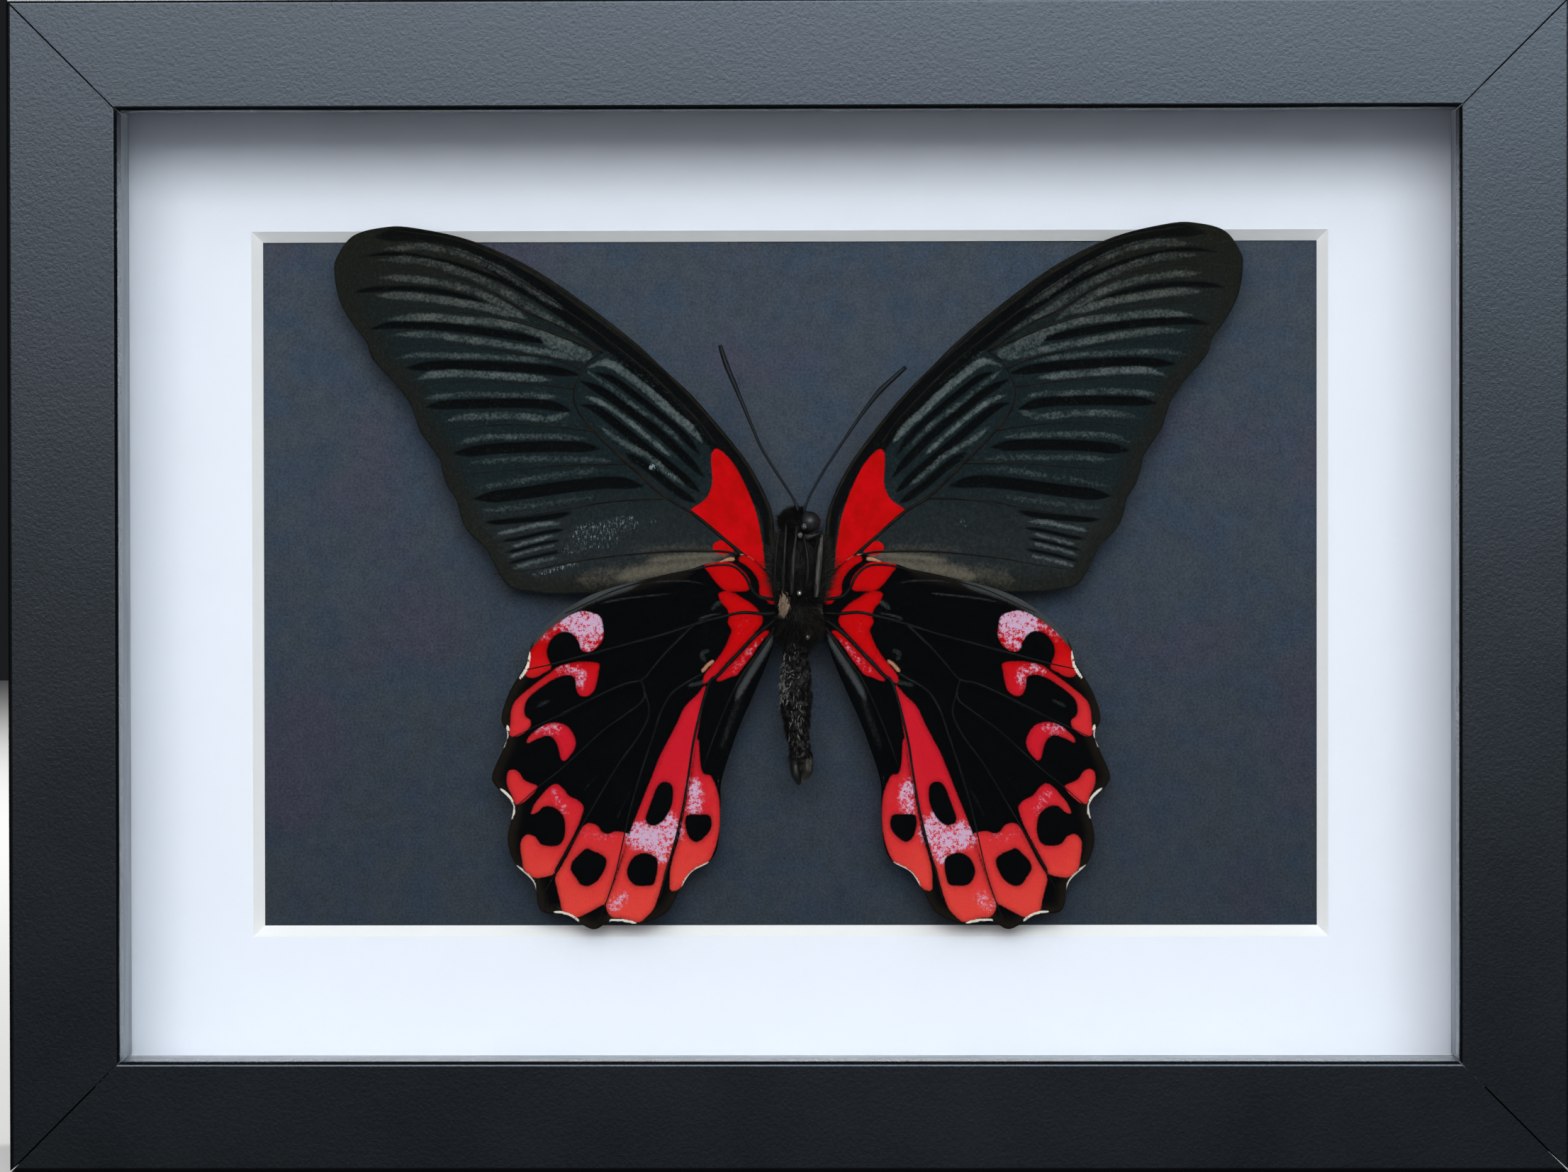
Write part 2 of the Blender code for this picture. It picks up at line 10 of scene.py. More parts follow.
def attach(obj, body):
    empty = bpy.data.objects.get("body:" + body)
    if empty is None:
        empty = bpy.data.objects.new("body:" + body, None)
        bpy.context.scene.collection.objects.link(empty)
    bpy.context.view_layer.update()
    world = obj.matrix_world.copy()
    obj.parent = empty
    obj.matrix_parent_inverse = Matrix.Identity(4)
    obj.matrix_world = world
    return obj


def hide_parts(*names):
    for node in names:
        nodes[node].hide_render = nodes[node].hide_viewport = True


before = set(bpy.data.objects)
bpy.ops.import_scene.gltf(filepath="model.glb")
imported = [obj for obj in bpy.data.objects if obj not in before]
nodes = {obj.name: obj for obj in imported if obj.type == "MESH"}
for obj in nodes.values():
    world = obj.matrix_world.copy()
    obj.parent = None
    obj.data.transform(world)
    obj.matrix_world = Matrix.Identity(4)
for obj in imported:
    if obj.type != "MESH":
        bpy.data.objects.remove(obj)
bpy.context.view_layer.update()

MM = 0.001

# ---------------------------------------------------------------------------
# Viewpoint. The frame is seen almost square on, from a little above and to the right of its middle, through
# a long lens, so that its outer edges nearly fill the view.

CAMERA_PLACE = Vector((0.00782, -0.6709, 0.08409))
CAMERA_LENS = 116.74
CAMERA_YAW = math.radians(0.727)
CAMERA_PITCH = math.radians(-0.754)
CAMERA_ROLL = math.radians(-0.098)

bpy.ops.object.select_all(action="DESELECT")
bpy.ops.object.camera_add(location=CAMERA_PLACE)
camera = bpy.context.object
camera.name = "camera"
camera.data.lens = CAMERA_LENS
camera.data.sensor_width = 36.0
camera.data.clip_start = 0.05
camera.rotation_mode = "QUATERNION"
look = Matrix.Rotation(CAMERA_YAW, 4, "Z") @ Matrix.Rotation(math.radians(90) + CAMERA_PITCH, 4, "X")
camera.rotation_quaternion = (look @ Matrix.Rotation(CAMERA_ROLL, 4, "Z")).to_quaternion()
bpy.context.scene.camera = camera


# ---------------------------------------------------------------------------
# The frame: four softwood rails with a rounded front arris, mitred and glued at the corners, sprayed with
# satin black lacquer. The lacquer has a fine pimpled grain and is rubbed a little browner on its arrises.

LACQUER_COLOUR = (0.0026, 0.0030, 0.0038, 1)
LACQUER_RUBBED = (0.0060, 0.0060, 0.0064, 1)
LACQUER_SHEEN = (0.69, 0.83, 1.0, 1)


class Value:
    """A number or colour that comes out of a shader node, and takes part in sums."""

    def __init__(self, material, socket):
        self.material = material
        self.socket = socket

    def math(self, operation, *others):
        return self.material.node("ShaderNodeMath", {"operation": operation}, [self, *others])

    def __add__(self, other):
        return self.math("ADD", other)

    def __radd__(self, other):
        return self.math("ADD", other)

    def __sub__(self, other):
        return self.math("SUBTRACT", other)

    def __rsub__(self, other):
        return self.material.node("ShaderNodeMath", {"operation": "SUBTRACT"}, [other, self])

    def __mul__(self, other):
        return self.math("MULTIPLY", other)

    def __rmul__(self, other):
        return self.math("MULTIPLY", other)

    def __truediv__(self, other):
        return self.math("DIVIDE", other)


class Finish:
    """One procedural material, with a Principled shader whose plain values are set on its own sockets."""

    def __init__(self, name, **plain):
        self.data = bpy.data.materials.new(name)
        self.data.use_nodes = True
        self.tree = self.data.node_tree
        self.shader = self.tree.nodes["Principled BSDF"]
        self.output = self.tree.nodes["Material Output"]
        for socket, value in plain.items():
            self.shader.inputs[socket.replace("_", " ")].default_value = value

    def set_input(self, socket, value):
        if isinstance(value, Value):
            self.tree.links.new(value.socket, socket)
        else:
            socket.default_value = value

    def node(self, kind, settings=None, inputs=(), output=0):
        """Adds a node: its settings first, then the value or link of each socket, by place or by name."""
        made = self.tree.nodes.new(kind)
        for setting, value in (settings or {}).items():
            setattr(made, setting, value)
        pairs = inputs.items() if isinstance(inputs, dict) else enumerate(inputs)
        for socket, value in pairs:
            self.set_input(made.inputs[socket], value)
        return Value(self, made.outputs[output])

    def place(self):
        return self.node("ShaderNodeTexCoord", output="Object")

    def stretched(self, place, scale):
        """Places in longer or shorter steps along each axis, for a grain that runs one way."""
        return self.node("ShaderNodeMapping", None, {"Vector": place, "Scale": scale})

    def noise(self, place, scale, detail=2.0, rough=0.5, twist=0.0):
        inputs = {"Vector": place, "Scale": scale, "Detail": detail, "Roughness": rough, "Distortion": twist}
        return self.node("ShaderNodeTexNoise", None, inputs, "Fac")

    def cells(self, place, scale):
        """How far each place is from the middle of its own cell."""
        return self.node("ShaderNodeTexVoronoi", None, {"Vector": place, "Scale": scale}, "Distance")

    def step(self, value, low, high):
        """0 below low and 1 above high, smooth between them; the other way round when low is above high."""
        settings = {"interpolation_type": "SMOOTHSTEP", "clamp": True}
        if low < high:
            return self.node("ShaderNodeMapRange", settings, {0: value, 1: low, 2: high})
        return self.node("ShaderNodeMapRange", settings, {0: value, 1: high, 2: low, 3: 1.0, 4: 0.0})

    def attribute(self, name):
        return self.node("ShaderNodeAttribute", {"attribute_name": name}, output="Fac")

    def mix(self, factor, first, second):
        """A colour, or a link to one, on its way from the first to the second."""
        settings = {"data_type": "RGBA", "blend_type": "MIX"}
        return self.node("ShaderNodeMix", settings, {0: factor, 6: first, 7: second}, 2)

    def tint(self, factor, colour, shade):
        """The colour multiplied by the shade, as far as the factor says."""
        settings = {"data_type": "RGBA", "blend_type": "MULTIPLY"}
        return self.node("ShaderNodeMix", settings, {0: factor, 6: colour, 7: shade}, 2)

    def grey(self, value):
        return self.node("ShaderNodeCombineColor", None, [value, value, value])

    def surface(self, colour=None, roughness=None, height=None, bump=(1.0, 0.0001), **more):
        """Links what changes over the surface to the shader."""
        links = {"Base Color": colour, "Roughness": roughness, **more}
        for name, value in links.items():
            if value is not None:
                self.set_input(self.shader.inputs[name.replace("_", " ")], value)
        if height is not None:
            settings = {"Strength": bump[0], "Distance": bump[1], "Height": height}
            self.set_input(self.shader.inputs["Normal"], self.node("ShaderNodeBump", None, settings))
        return self.data


def cover(node_name, material):
    """A construction node that keeps its shape and takes its finish."""
    piece = nodes[node_name]
    piece.data.materials.clear()
    piece.data.materials.append(material)


def lacquer_finish():
    finish = Finish("satin_black_lacquer", Specular_IOR_Level=0.74, Specular_Tint=LACQUER_SHEEN)
    place = finish.place()
    grain = finish.noise(place, 2600, 2.0, 0.6)
    patches = finish.noise(place, 60, 3.0)
    bevel = finish.node("ShaderNodeNewGeometry", output="Pointiness")
    rubbed = finish.step(bevel + (patches - 0.5) * 0.04, 0.53, 0.60)
    colour = finish.mix(rubbed, LACQUER_COLOUR, LACQUER_RUBBED)
    dulled = finish.tint(0.5, colour, finish.grey(0.6 + patches * 0.8))
    roughness = 0.215 + patches * 0.05 + grain * 0.05
    return finish.surface(dulled, roughness, grain, (0.25, 0.00006))


lacquer = lacquer_finish()
for side in ("top", "bottom", "left", "right"):
    cover("rail_" + side, lacquer)


# ---------------------------------------------------------------------------
# Backboard: brown pressed fibreboard, smooth and darker on its outer face, with loose fibres in it. It is
# pushed into the rebate behind the sheets.

FIBRE_DARK = (0.105, 0.058, 0.030, 1)
FIBRE_LIGHT = (0.23, 0.145, 0.082, 1)


def fibreboard_finish():
    finish = Finish("brown_fibreboard", Specular_IOR_Level=0.3)
    place = finish.place()
    fibres = finish.noise(finish.stretched(place, (220, 220, 900)), 1.0, 4.0, 0.7, 2.0)
    flecks = finish.noise(place, 1500, 2.0, 0.7)
    clouds = finish.noise(place, 24, 3.0)
    blend = finish.step(fibres * 0.6 + flecks * 0.3 + clouds * 0.3, 0.40, 0.78)
    colour = finish.mix(blend, FIBRE_DARK, FIBRE_LIGHT)
    return finish.surface(colour, 0.52 + clouds * 0.2, fibres * 0.6 + flecks * 0.4, (0.35, 0.0001))


cover("backboard", fibreboard_finish())


# ---------------------------------------------------------------------------
# Backing card: slate blue-grey paper board, matt, printed solid, with a faint cloudy mottle of bluer and
# more purple patches. Its colour grows brighter towards its top: painted light, for light that falls from
# above. It carries the insect on its block.

CARD_BLUE = (0.0264, 0.0350, 0.0500, 1)
CARD_GREY = (0.0318, 0.0362, 0.0440, 1)
CARD_PURPLE = (0.0370, 0.0325, 0.0480, 1)
CARD_SHEEN = (0.45, 0.65, 1.0, 1)
TOP_LIGHT_FROM, TOP_LIGHT_TO = 0.020, 0.125


def card_finish():
    finish = Finish("slate_card", Specular_IOR_Level=0.12, Specular_Tint=CARD_SHEEN)
    place = finish.place()
    clouds = finish.noise(place, 150, 3.0, 0.6)
    drifts = finish.noise(place, 55, 2.0, 0.5)
    tooth = finish.noise(place, 3200, 2.0, 0.6)
    blotches = finish.noise(place, 520, 2.0, 0.6)
    tone = finish.mix(finish.step(clouds, 0.42, 0.62), CARD_GREY, CARD_BLUE)
    tone = finish.mix(finish.step(drifts, 0.52, 0.68) * 0.7, tone, CARD_PURPLE)
    # Painted light: the card's colour grows brighter towards its top.
    up = finish.node("ShaderNodeSeparateXYZ", None, [place], "Z")
    painted_top_light = finish.step(up, TOP_LIGHT_FROM, TOP_LIGHT_TO)
    shade = (tooth * 1.4 + blotches * 0.5 - 0.05) * (0.79 + painted_top_light * 0.54)
    colour = finish.tint(1.0, tone, finish.grey(shade))
    return finish.surface(colour, 0.42 + tooth * 0.06, tooth, (0.4, 0.00004))


cover("backing_card", card_finish())


# ---------------------------------------------------------------------------
# Window mat: cool white board with a faint felt tooth, its window cut at 45 degrees so that the warmer white
# core shows as a thin bright edge all round.

MAT_FACE = (0.750, 0.772, 0.868, 1)
MAT_SHADE = (0.728, 0.748, 0.838, 1)
MAT_CORE = (0.83, 0.815, 0.84, 1)
SPECK_AT = (-0.0836, 0.0030, 0.1338)
SPECK_OLIVE = (0.20, 0.19, 0.10, 1)


def mat_finish():
    finish = Finish("white_mat_board", Specular_IOR_Level=0.15)
    place = finish.place()
    felt = finish.noise(place, 1700, 3.0, 0.65)
    clouds = finish.noise(place, 45, 2.0)
    normal = finish.node("ShaderNodeNewGeometry", output="Normal")
    facing = finish.node("ShaderNodeSeparateXYZ", None, [normal], "Y")
    cut = finish.step(facing, -0.95, -0.80)
    face = finish.mix(clouds * 0.6 + felt * 0.3, MAT_SHADE, MAT_FACE)
    away = finish.node("ShaderNodeVectorMath", {"operation": "DISTANCE"}, [place, SPECK_AT], "Value")
    speck = finish.step(away / MM + (felt - 0.5) * 0.5, 0.42, 0.16)
    face = finish.mix(speck, face, SPECK_OLIVE)
    colour = finish.mix(cut, face, MAT_CORE)
    return finish.surface(colour, 0.78 + felt * 0.1, felt, (0.35, 0.00004))


cover("window_mat", mat_finish())


# ---------------------------------------------------------------------------
# Spacers: four strips of grey-white board on edge, glued along the rebate, that keep the glass clear of the
# insect. Their inner faces are the thin grey band round the mat.

SPACER_FACE = (0.43, 0.46, 0.50, 1)
SPACER_DULL = (0.35, 0.37, 0.41, 1)


def spacer_finish():
    finish = Finish("spacer_board", Specular_IOR_Level=0.2)
    place = finish.place()
    felt = finish.noise(place, 1500, 3.0, 0.65)
    rubs = finish.noise(finish.stretched(place, (60, 400, 60)), 1.0, 3.0)
    colour = finish.mix(finish.step(rubs, 0.35, 0.65), SPACER_DULL, SPACER_FACE)
    return finish.surface(colour, 0.8 + felt * 0.1, felt, (0.4, 0.00005))


spacer_board = spacer_finish()
for side in ("top", "bottom", "left", "right"):
    cover("spacer_" + side, spacer_board)


# ---------------------------------------------------------------------------
# Glass: one sheet of 2 mm clear float glass behind the rails' lip, faintly green in its thickness. Lamps
# shine straight through it, as they do through a flat pane.

GLASS_TINT = (0.985, 1.0, 0.992, 1)


def glass_finish():
    finish = Finish("clear_glass", IOR=1.5, Roughness=0.0, Transmission_Weight=1.0, Base_Color=GLASS_TINT)
    clear = finish.node("ShaderNodeBsdfTransparent", None, {"Color": GLASS_TINT}, "BSDF")
    lamp_ray = finish.node("ShaderNodeLightPath", output="Is Shadow Ray")
    pane = finish.node("ShaderNodeMixShader", None, {0: lamp_ray, 2: clear}, "Shader")
    finish.tree.links.new(finish.shader.outputs["BSDF"], pane.socket.node.inputs[1])
    finish.tree.links.new(pane.socket, finish.output.inputs["Surface"])
    return finish.data


cover("glass", glass_finish())


# ---------------------------------------------------------------------------
# Back fittings: six flat steel points pushed into the rails, a saw-toothed hanger of plated brass, and its
# two brass nails.

STEEL_BRIGHT = (0.62, 0.62, 0.60, 1)
STEEL_DULL = (0.34, 0.33, 0.31, 1)
BRASS_BRIGHT = (0.72, 0.52, 0.22, 1)
BRASS_DULL = (0.33, 0.22, 0.09, 1)


def metal_finish(name, bright, dull):
    finish = Finish(name, Metallic=1.0)
    place = finish.place()
    rolled = finish.noise(finish.stretched(place, (300, 3000, 6000)), 1.0, 3.0, 0.6)
    tarnish = finish.noise(place, 380, 4.0, 0.65)
    colour = finish.mix(finish.step(tarnish, 0.45, 0.70), bright, dull)
    return finish.surface(colour, 0.24 + tarnish * 0.25 + rolled * 0.1, rolled, (0.2, 0.00004))


rolled_steel = metal_finish("rolled_steel", STEEL_BRIGHT, STEEL_DULL)
plated_brass = metal_finish("plated_brass", BRASS_BRIGHT, BRASS_DULL)
for corner in ("top_left", "top_right", "bottom_left", "bottom_right", "left", "right"):
    cover("point_" + corner, rolled_steel)
cover("hanger", plated_brass)
for side in ("left", "right"):
    cover("nail_" + side, plated_brass)


# ---------------------------------------------------------------------------
# Forewings: stiff dry membrane a tenth of a millimetre thick, held out by raised veins and closely shingled
# with scales. The underside shows: black stripes between the veins, dusted grey-green streaks beside them, a
# scarlet base and a worn tan hind edge. Places on a wing are in millimetres: (out from the body's axis, up
# from the frame's middle).

INSECT_X = 0.0015
FRAME_MIDDLE = 0.0755
FRONT = -0.0175
CELL = 0.21
FOREWING_AT = 0.01775
WING_THICK = 0.00012
MARGIN_REACH = 8.0
VEIN_PROUD = 0.03
GROOVE_DEPTH = 0.13
STREAK_RISE = 0.07
TIP_BOW = 0.35
FOREWING_REACH = 58
FOREWING_POSES = {"right": (1.0, 0.0, 0.0), "left": (1.054, 0.010, 0.2)}

FOREWING_EDGE = [
    (3.7, 4.6), (3.6, 7.5), (4.1, 10.1), (5.6, 14.1), (7.8, 17.6), (10.3, 20.9), (13.5, 24.8), (17.1, 28.4),
    (20.6, 31.9), (27.1, 37.3), (34.2, 42.3), (41.4, 45.7), (48.5, 47.4), (52.1, 47.5), (56.0, 46.4),
    (58.1, 43.4), (58.3, 41.6), (58.0, 39.2), (57.3, 37.0), (55.9, 34.6), (54.3, 32.3), (53.7, 30.4),
    (52.2, 28.5), (50.2, 26.2), (48.9, 24.2), (48.2, 22.3), (47.6, 20.5), (46.3, 18.5), (45.2, 16.8),
    (44.9, 15.3), (44.2, 13.2), (43.1, 11.4), (42.7, 9.8), (42.1, 8.0), (40.9, 6.4), (39.5, 5.1),
    (38.7, 3.5), (37.5, 1.2), (36.1, -0.3), (33.2, -0.8), (31.2, -1.0), (24.0, -1.0), (12.0, -0.6),
    (5.0, -0.3), (3.9, 0.5),
]

# Dusted streaks: brightness, half width in the middle, and the places that the streak runs through.
FOREWING_STREAKS = [
    (0.60, 0.55, [(29.0, 36.0), (33.5, 39.0), (37.5, 41.6), (42.5, 44.0), (47.0, 44.9), (52.5, 44.6)]),
    (0.62, 0.55, [
        (27.5, 33.2), (31.5, 35.2), (36.5, 38.5), (41.0, 40.9), (45.5, 42.5), (49.0, 43.2), (53.0, 43.2),
    ]),
    (0.68, 0.50, [(33.5, 34.6), (37.0, 37.0), (41.0, 39.0), (45.5, 40.2), (49.0, 40.7), (53.0, 40.9)]),
    (0.76, 0.55, [(35.5, 35.5), (39.5, 36.8), (43.0, 37.5), (46.0, 38.0), (49.0, 38.4), (53.3, 38.5)]),
    (0.80, 0.55, [
        (26.2, 30.2), (29.5, 32.0), (33.0, 33.4), (37.0, 34.6), (42.5, 35.2), (47.0, 35.6), (52.2, 35.3),
    ]),
    (0.76, 0.50, [
        (26.8, 29.4), (30.5, 30.5), (34.0, 31.2), (38.0, 32.0), (43.0, 32.8), (47.0, 33.3), (51.3, 33.3),
    ]),
    (0.66, 0.42, [(30.5, 29.3), (35.0, 30.0), (39.5, 30.3), (43.5, 30.5), (47.5, 30.6), (50.8, 30.2)]),
    (0.80, 0.52, [(31.0, 27.1), (35.0, 27.5), (38.5, 27.8), (42.5, 28.1), (46.0, 28.0), (48.4, 27.3)]),
    (0.60, 0.42, [(29.5, 24.7), (33.0, 25.1), (37.0, 25.2), (41.0, 25.4), (44.5, 25.2), (47.5, 24.8)]),
    (0.66, 0.50, [(28.3, 22.9), (31.5, 22.0), (34.5, 22.3), (38.5, 22.5), (42.5, 22.3), (44.5, 21.8)]),
    (0.64, 0.42, [(26.5, 19.3), (30.5, 19.6), (34.5, 19.7), (38.5, 19.7), (41.5, 19.3), (43.5, 18.6)]),
    (0.50, 0.42, [(23.5, 16.3), (27.5, 16.6), (31.5, 16.7), (35.5, 16.7), (38.5, 16.5), (41.5, 16.3)]),
    (0.48, 0.42, [(24.0, 15.1), (27.5, 15.0), (31.5, 14.4), (35.5, 13.8), (38.5, 13.3), (41.0, 12.7)]),
    (0.50, 0.38, [(26.0, 11.6), (29.5, 11.1), (32.5, 10.7), (35.5, 10.4), (38.5, 10.0), (40.0, 10.3)]),
    (0.95, 0.32, [(30.0, 8.2), (32.5, 8.1), (35.0, 7.5), (38.0, 6.9)]),
    (0.95, 0.24, [(30.5, 6.7), (33.0, 6.0), (35.0, 5.5), (36.4, 5.1)]),
    (0.90, 0.24, [(30.5, 5.4), (33.0, 4.8), (35.0, 4.3), (36.6, 3.7)]),
    (0.85, 0.28, [(30.3, 3.7), (32.5, 3.3), (34.5, 2.8), (36.2, 2.2)]),
    (0.90, 0.55, [
        (12.0, 18.3), (13.8, 20.6), (16.0, 22.6), (18.8, 25.3), (21.8, 27.8), (24.3, 29.3), (26.6, 28.7),
    ]),
    (0.62, 0.32, [(14.3, 18.0), (17.3, 21.0), (20.3, 23.2), (23.5, 25.8), (26.0, 27.7), (26.8, 28.5)]),
    (0.90, 0.34, [(16.0, 16.6), (19.0, 19.4), (22.3, 22.2), (25.0, 24.1), (27.4, 25.0)]),
    (0.72, 0.40, [(14.3, 13.0), (16.5, 14.6), (18.6, 16.6), (21.5, 18.3), (23.5, 19.6), (25.2, 21.0)]),
    (0.30, 0.14, [
        (10.6, 17.8), (13.2, 21.3), (16.0, 24.6), (19.5, 28.2), (22.5, 30.6), (25.6, 33.6), (29.0, 36.8),
    ]),
    (0.40, 0.18, [(18.0, 25.8), (20.5, 28.0), (23.5, 30.2), (24.8, 31.0)]),
    (0.72, 0.85, [(25.8, 29.9), (28.0, 30.8), (30.0, 31.7), (32.5, 32.7)]),
]

# Black stripes between the veins and the bars of the cell: strength, half width, places.
FOREWING_STRIPES = [
    (1.0, 0.26, [
        (28.0, 34.4), (33.0, 37.7), (37.5, 40.3), (42.5, 42.3), (47.0, 43.5), (51.5, 44.0), (55.0, 43.6),
    ]),
    (0.9, 0.36, [(38.8, 37.0), (42.5, 38.3), (46.0, 39.1), (49.5, 39.4), (53.5, 39.3), (56.0, 39.0)]),
    (1.0, 0.50, [
        (31.5, 32.0), (35.5, 32.9), (39.0, 33.5), (43.0, 34.1), (47.5, 34.5), (51.0, 34.6), (54.0, 34.1),
    ]),
    (1.0, 0.62, [(27.5, 27.7), (31.5, 28.4), (35.5, 28.8), (40.0, 29.1), (44.5, 29.2), (49.5, 28.9)]),
    (1.0, 0.62, [(28.6, 22.9), (31.5, 23.8), (35.5, 24.1), (40.5, 24.1), (44.5, 24.0), (47.0, 23.7)]),
    (1.0, 0.70, [(25.0, 18.0), (29.5, 18.3), (34.0, 18.3), (38.5, 18.1), (43.5, 17.5)]),
    (1.0, 0.80, [(19.5, 12.9), (23.5, 13.5), (28.5, 13.1), (33.5, 12.4), (37.5, 11.9), (41.0, 11.5)]),
    (0.8, 0.42, [(28.5, 9.6), (31.5, 9.0), (35.5, 8.6), (39.5, 8.4)]),
    (0.8, 0.28, [(29.5, 7.4), (32.5, 6.9), (35.5, 6.2), (37.5, 5.9)]),
    (0.8, 0.24, [(30.0, 6.0), (33.0, 5.4), (35.5, 4.7), (37.0, 4.4)]),
    (0.7, 0.28, [(29.5, 4.6), (32.5, 4.0), (35.0, 3.4), (36.7, 2.9)]),
    (1.0, 0.42, [(12.6, 17.0), (15.0, 20.0), (18.0, 22.7), (21.0, 25.2), (23.5, 27.1), (25.7, 28.0)]),
    (1.0, 0.52, [(12.0, 14.0), (15.0, 17.3), (18.0, 20.2), (21.5, 23.0), (24.5, 25.3), (27.6, 27.0)]),
    (1.0, 0.55, [(12.5, 12.0), (16.0, 15.2), (19.5, 18.1), (22.5, 20.7), (25.5, 23.1), (27.6, 23.8)]),
    (0.8, 0.55, [(13.0, 10.6), (16.0, 12.7), (19.0, 15.3), (22.0, 17.4)]),
    (0.95, 0.75, [(3.5, 0.0), (3.7, 5.0), (4.5, 10.0), (6.6, 14.9), (9.6, 19.3)]),
    (0.90, 1.25, [
        (5.0, 9.5), (8.9, 16.7), (15.1, 24.1), (22.3, 30.7), (28.8, 35.9), (35.6, 40.9), (42.3, 44.2),
    ]),
    (0.6, 0.9, [(35.0, 41.2), (42.0, 44.8), (48.5, 46.4), (53.5, 46.2)]),
]

# The scarlet base, as closed outlines.
FOREWING_RED = [
    [
        (4.5, 1.6), (4.6, 3.6), (4.9, 6.0), (5.4, 8.7), (6.2, 11.2), (7.2, 13.6), (8.4, 15.8), (9.7, 17.3),
        (10.6, 17.8), (11.1, 17.0), (11.1, 15.3), (11.0, 13.6), (11.3, 12.2), (12.1, 11.0), (13.6, 9.9),
        (14.0, 9.4), (12.8, 8.7), (11.2, 7.5), (9.6, 6.0), (8.0, 4.8), (6.2, 3.2),
    ],
    [(8.4, 4.1), (8.7, 5.0), (9.8, 5.7), (10.8, 5.3), (10.9, 4.4), (9.9, 3.8)],
]

# The worn tan hind edge: strength, half width, places.
FOREWING_TAN = [
    (0.95, 0.45, [(9.0, 3.8), (12.5, 3.7), (16.0, 3.4), (19.5, 3.0)]),
    (0.72, 1.00, [(9.5, 2.4), (13.5, 2.5), (17.5, 2.0), (21.0, 1.4), (23.5, 0.8)]),
    (0.34, 1.10, [(16.5, 1.2), (20.5, 1.4), (24.5, 1.2), (28.5, 0.4)]),
    (0.30, 0.50, [(11.0, 4.7), (14.0, 4.9), (17.5, 4.7), (21.0, 4.2)]),
]

# Places where the scales are rubbed off and the pale blue-grey membrane shows.
FOREWING_WORN = {
    "right": [(0.6, 0.5, [(20.9, 8.4), (21.6, 8.0), (22.0, 7.4)]), (0.6, 0.35, [(24.8, 5.7), (25.6, 5.3)])],
    "left": [
        (0.62, 1.30, [(20.0, 8.2), (22.5, 7.9), (25.5, 7.3), (29.0, 6.6)]),
        (0.55, 1.00, [(22.0, 5.9), (25.0, 5.6), (28.5, 5.0), (30.5, 4.4)]),
        (0.75, 0.45, [(21.6, 8.3), (23.4, 8.1)]),
        (0.80, 0.30, [(18.0, 8.6), (18.9, 8.1)]),
        (1.0, 0.50, [(18.3, 15.9), (18.9, 15.1)]),
        (0.9, 0.22, [(15.3, 13.8), (17.3, 15.0), (18.6, 15.5)]),
        (0.8, 0.40, [(27.5, 2.8), (29.5, 2.5), (32.0, 1.8), (34.0, 1.3)]),
    ],
}

# Veins: radius at the base and at the margin, and places.
FOREWING_VEINS = [
    (0.34, 0.09, [
        (3.6, 5.5), (3.9, 9.5), (6.3, 14.9), (9.7, 19.7), (15.0, 26.0), (21.6, 32.3), (29.8, 38.8),
        (41.4, 45.2), (51.0, 47.1),
    ]),
    (0.16, 0.07, [
        (10.6, 18.3), (12.4, 21.0), (14.6, 23.5), (19.0, 28.0), (25.4, 33.3), (33.5, 39.3), (41.0, 43.6),
        (48.0, 45.8),
    ]),
    (0.20, 0.06, [
        (24.7, 30.6), (29.5, 33.8), (34.5, 36.3), (38.5, 38.8), (43.0, 40.8), (49.0, 42.0), (56.5, 41.9),
    ]),
    (0.16, 0.06, [
        (24.7, 30.6), (28.5, 32.2), (33.5, 34.2), (38.5, 35.5), (44.0, 36.4), (50.0, 37.0), (56.8, 37.2),
    ]),
    (0.14, 0.06, [(27.3, 28.4), (31.0, 29.9), (35.0, 30.6), (40.0, 31.5), (46.0, 32.0), (53.6, 31.6)]),
    (0.14, 0.06, [(28.2, 25.9), (32.5, 26.5), (36.5, 26.9), (41.0, 27.0), (46.0, 26.8), (50.3, 26.3)]),
    (0.16, 0.06, [(26.0, 20.3), (29.5, 20.8), (33.5, 21.2), (37.5, 21.3), (42.0, 21.0), (47.2, 20.2)]),
    (0.16, 0.06, [(21.8, 15.9), (25.5, 15.9), (30.5, 15.8), (35.0, 15.4), (39.0, 15.1), (44.3, 14.6)]),
    (0.16, 0.06, [
        (17.0, 11.3), (20.5, 11.2), (24.5, 10.9), (28.5, 10.2), (33.0, 9.4), (37.0, 8.9), (41.8, 8.4),
    ]),
    (0.28, 0.12, [
        (4.0, 1.2), (6.6, 3.2), (9.6, 5.9), (13.6, 9.4), (17.0, 11.6), (20.2, 14.6), (22.4, 16.8),
        (24.6, 19.0), (26.6, 21.2), (28.0, 23.4), (28.4, 25.2), (28.0, 26.8), (26.6, 29.4), (24.8, 30.6),
    ]),
    (0.20, 0.07, [
        (5.0, 2.2), (8.6, 4.0), (12.0, 4.3), (17.0, 4.3), (22.0, 3.9), (27.0, 3.3), (32.5, 2.3),
        (38.4, 1.6),
    ]),
]


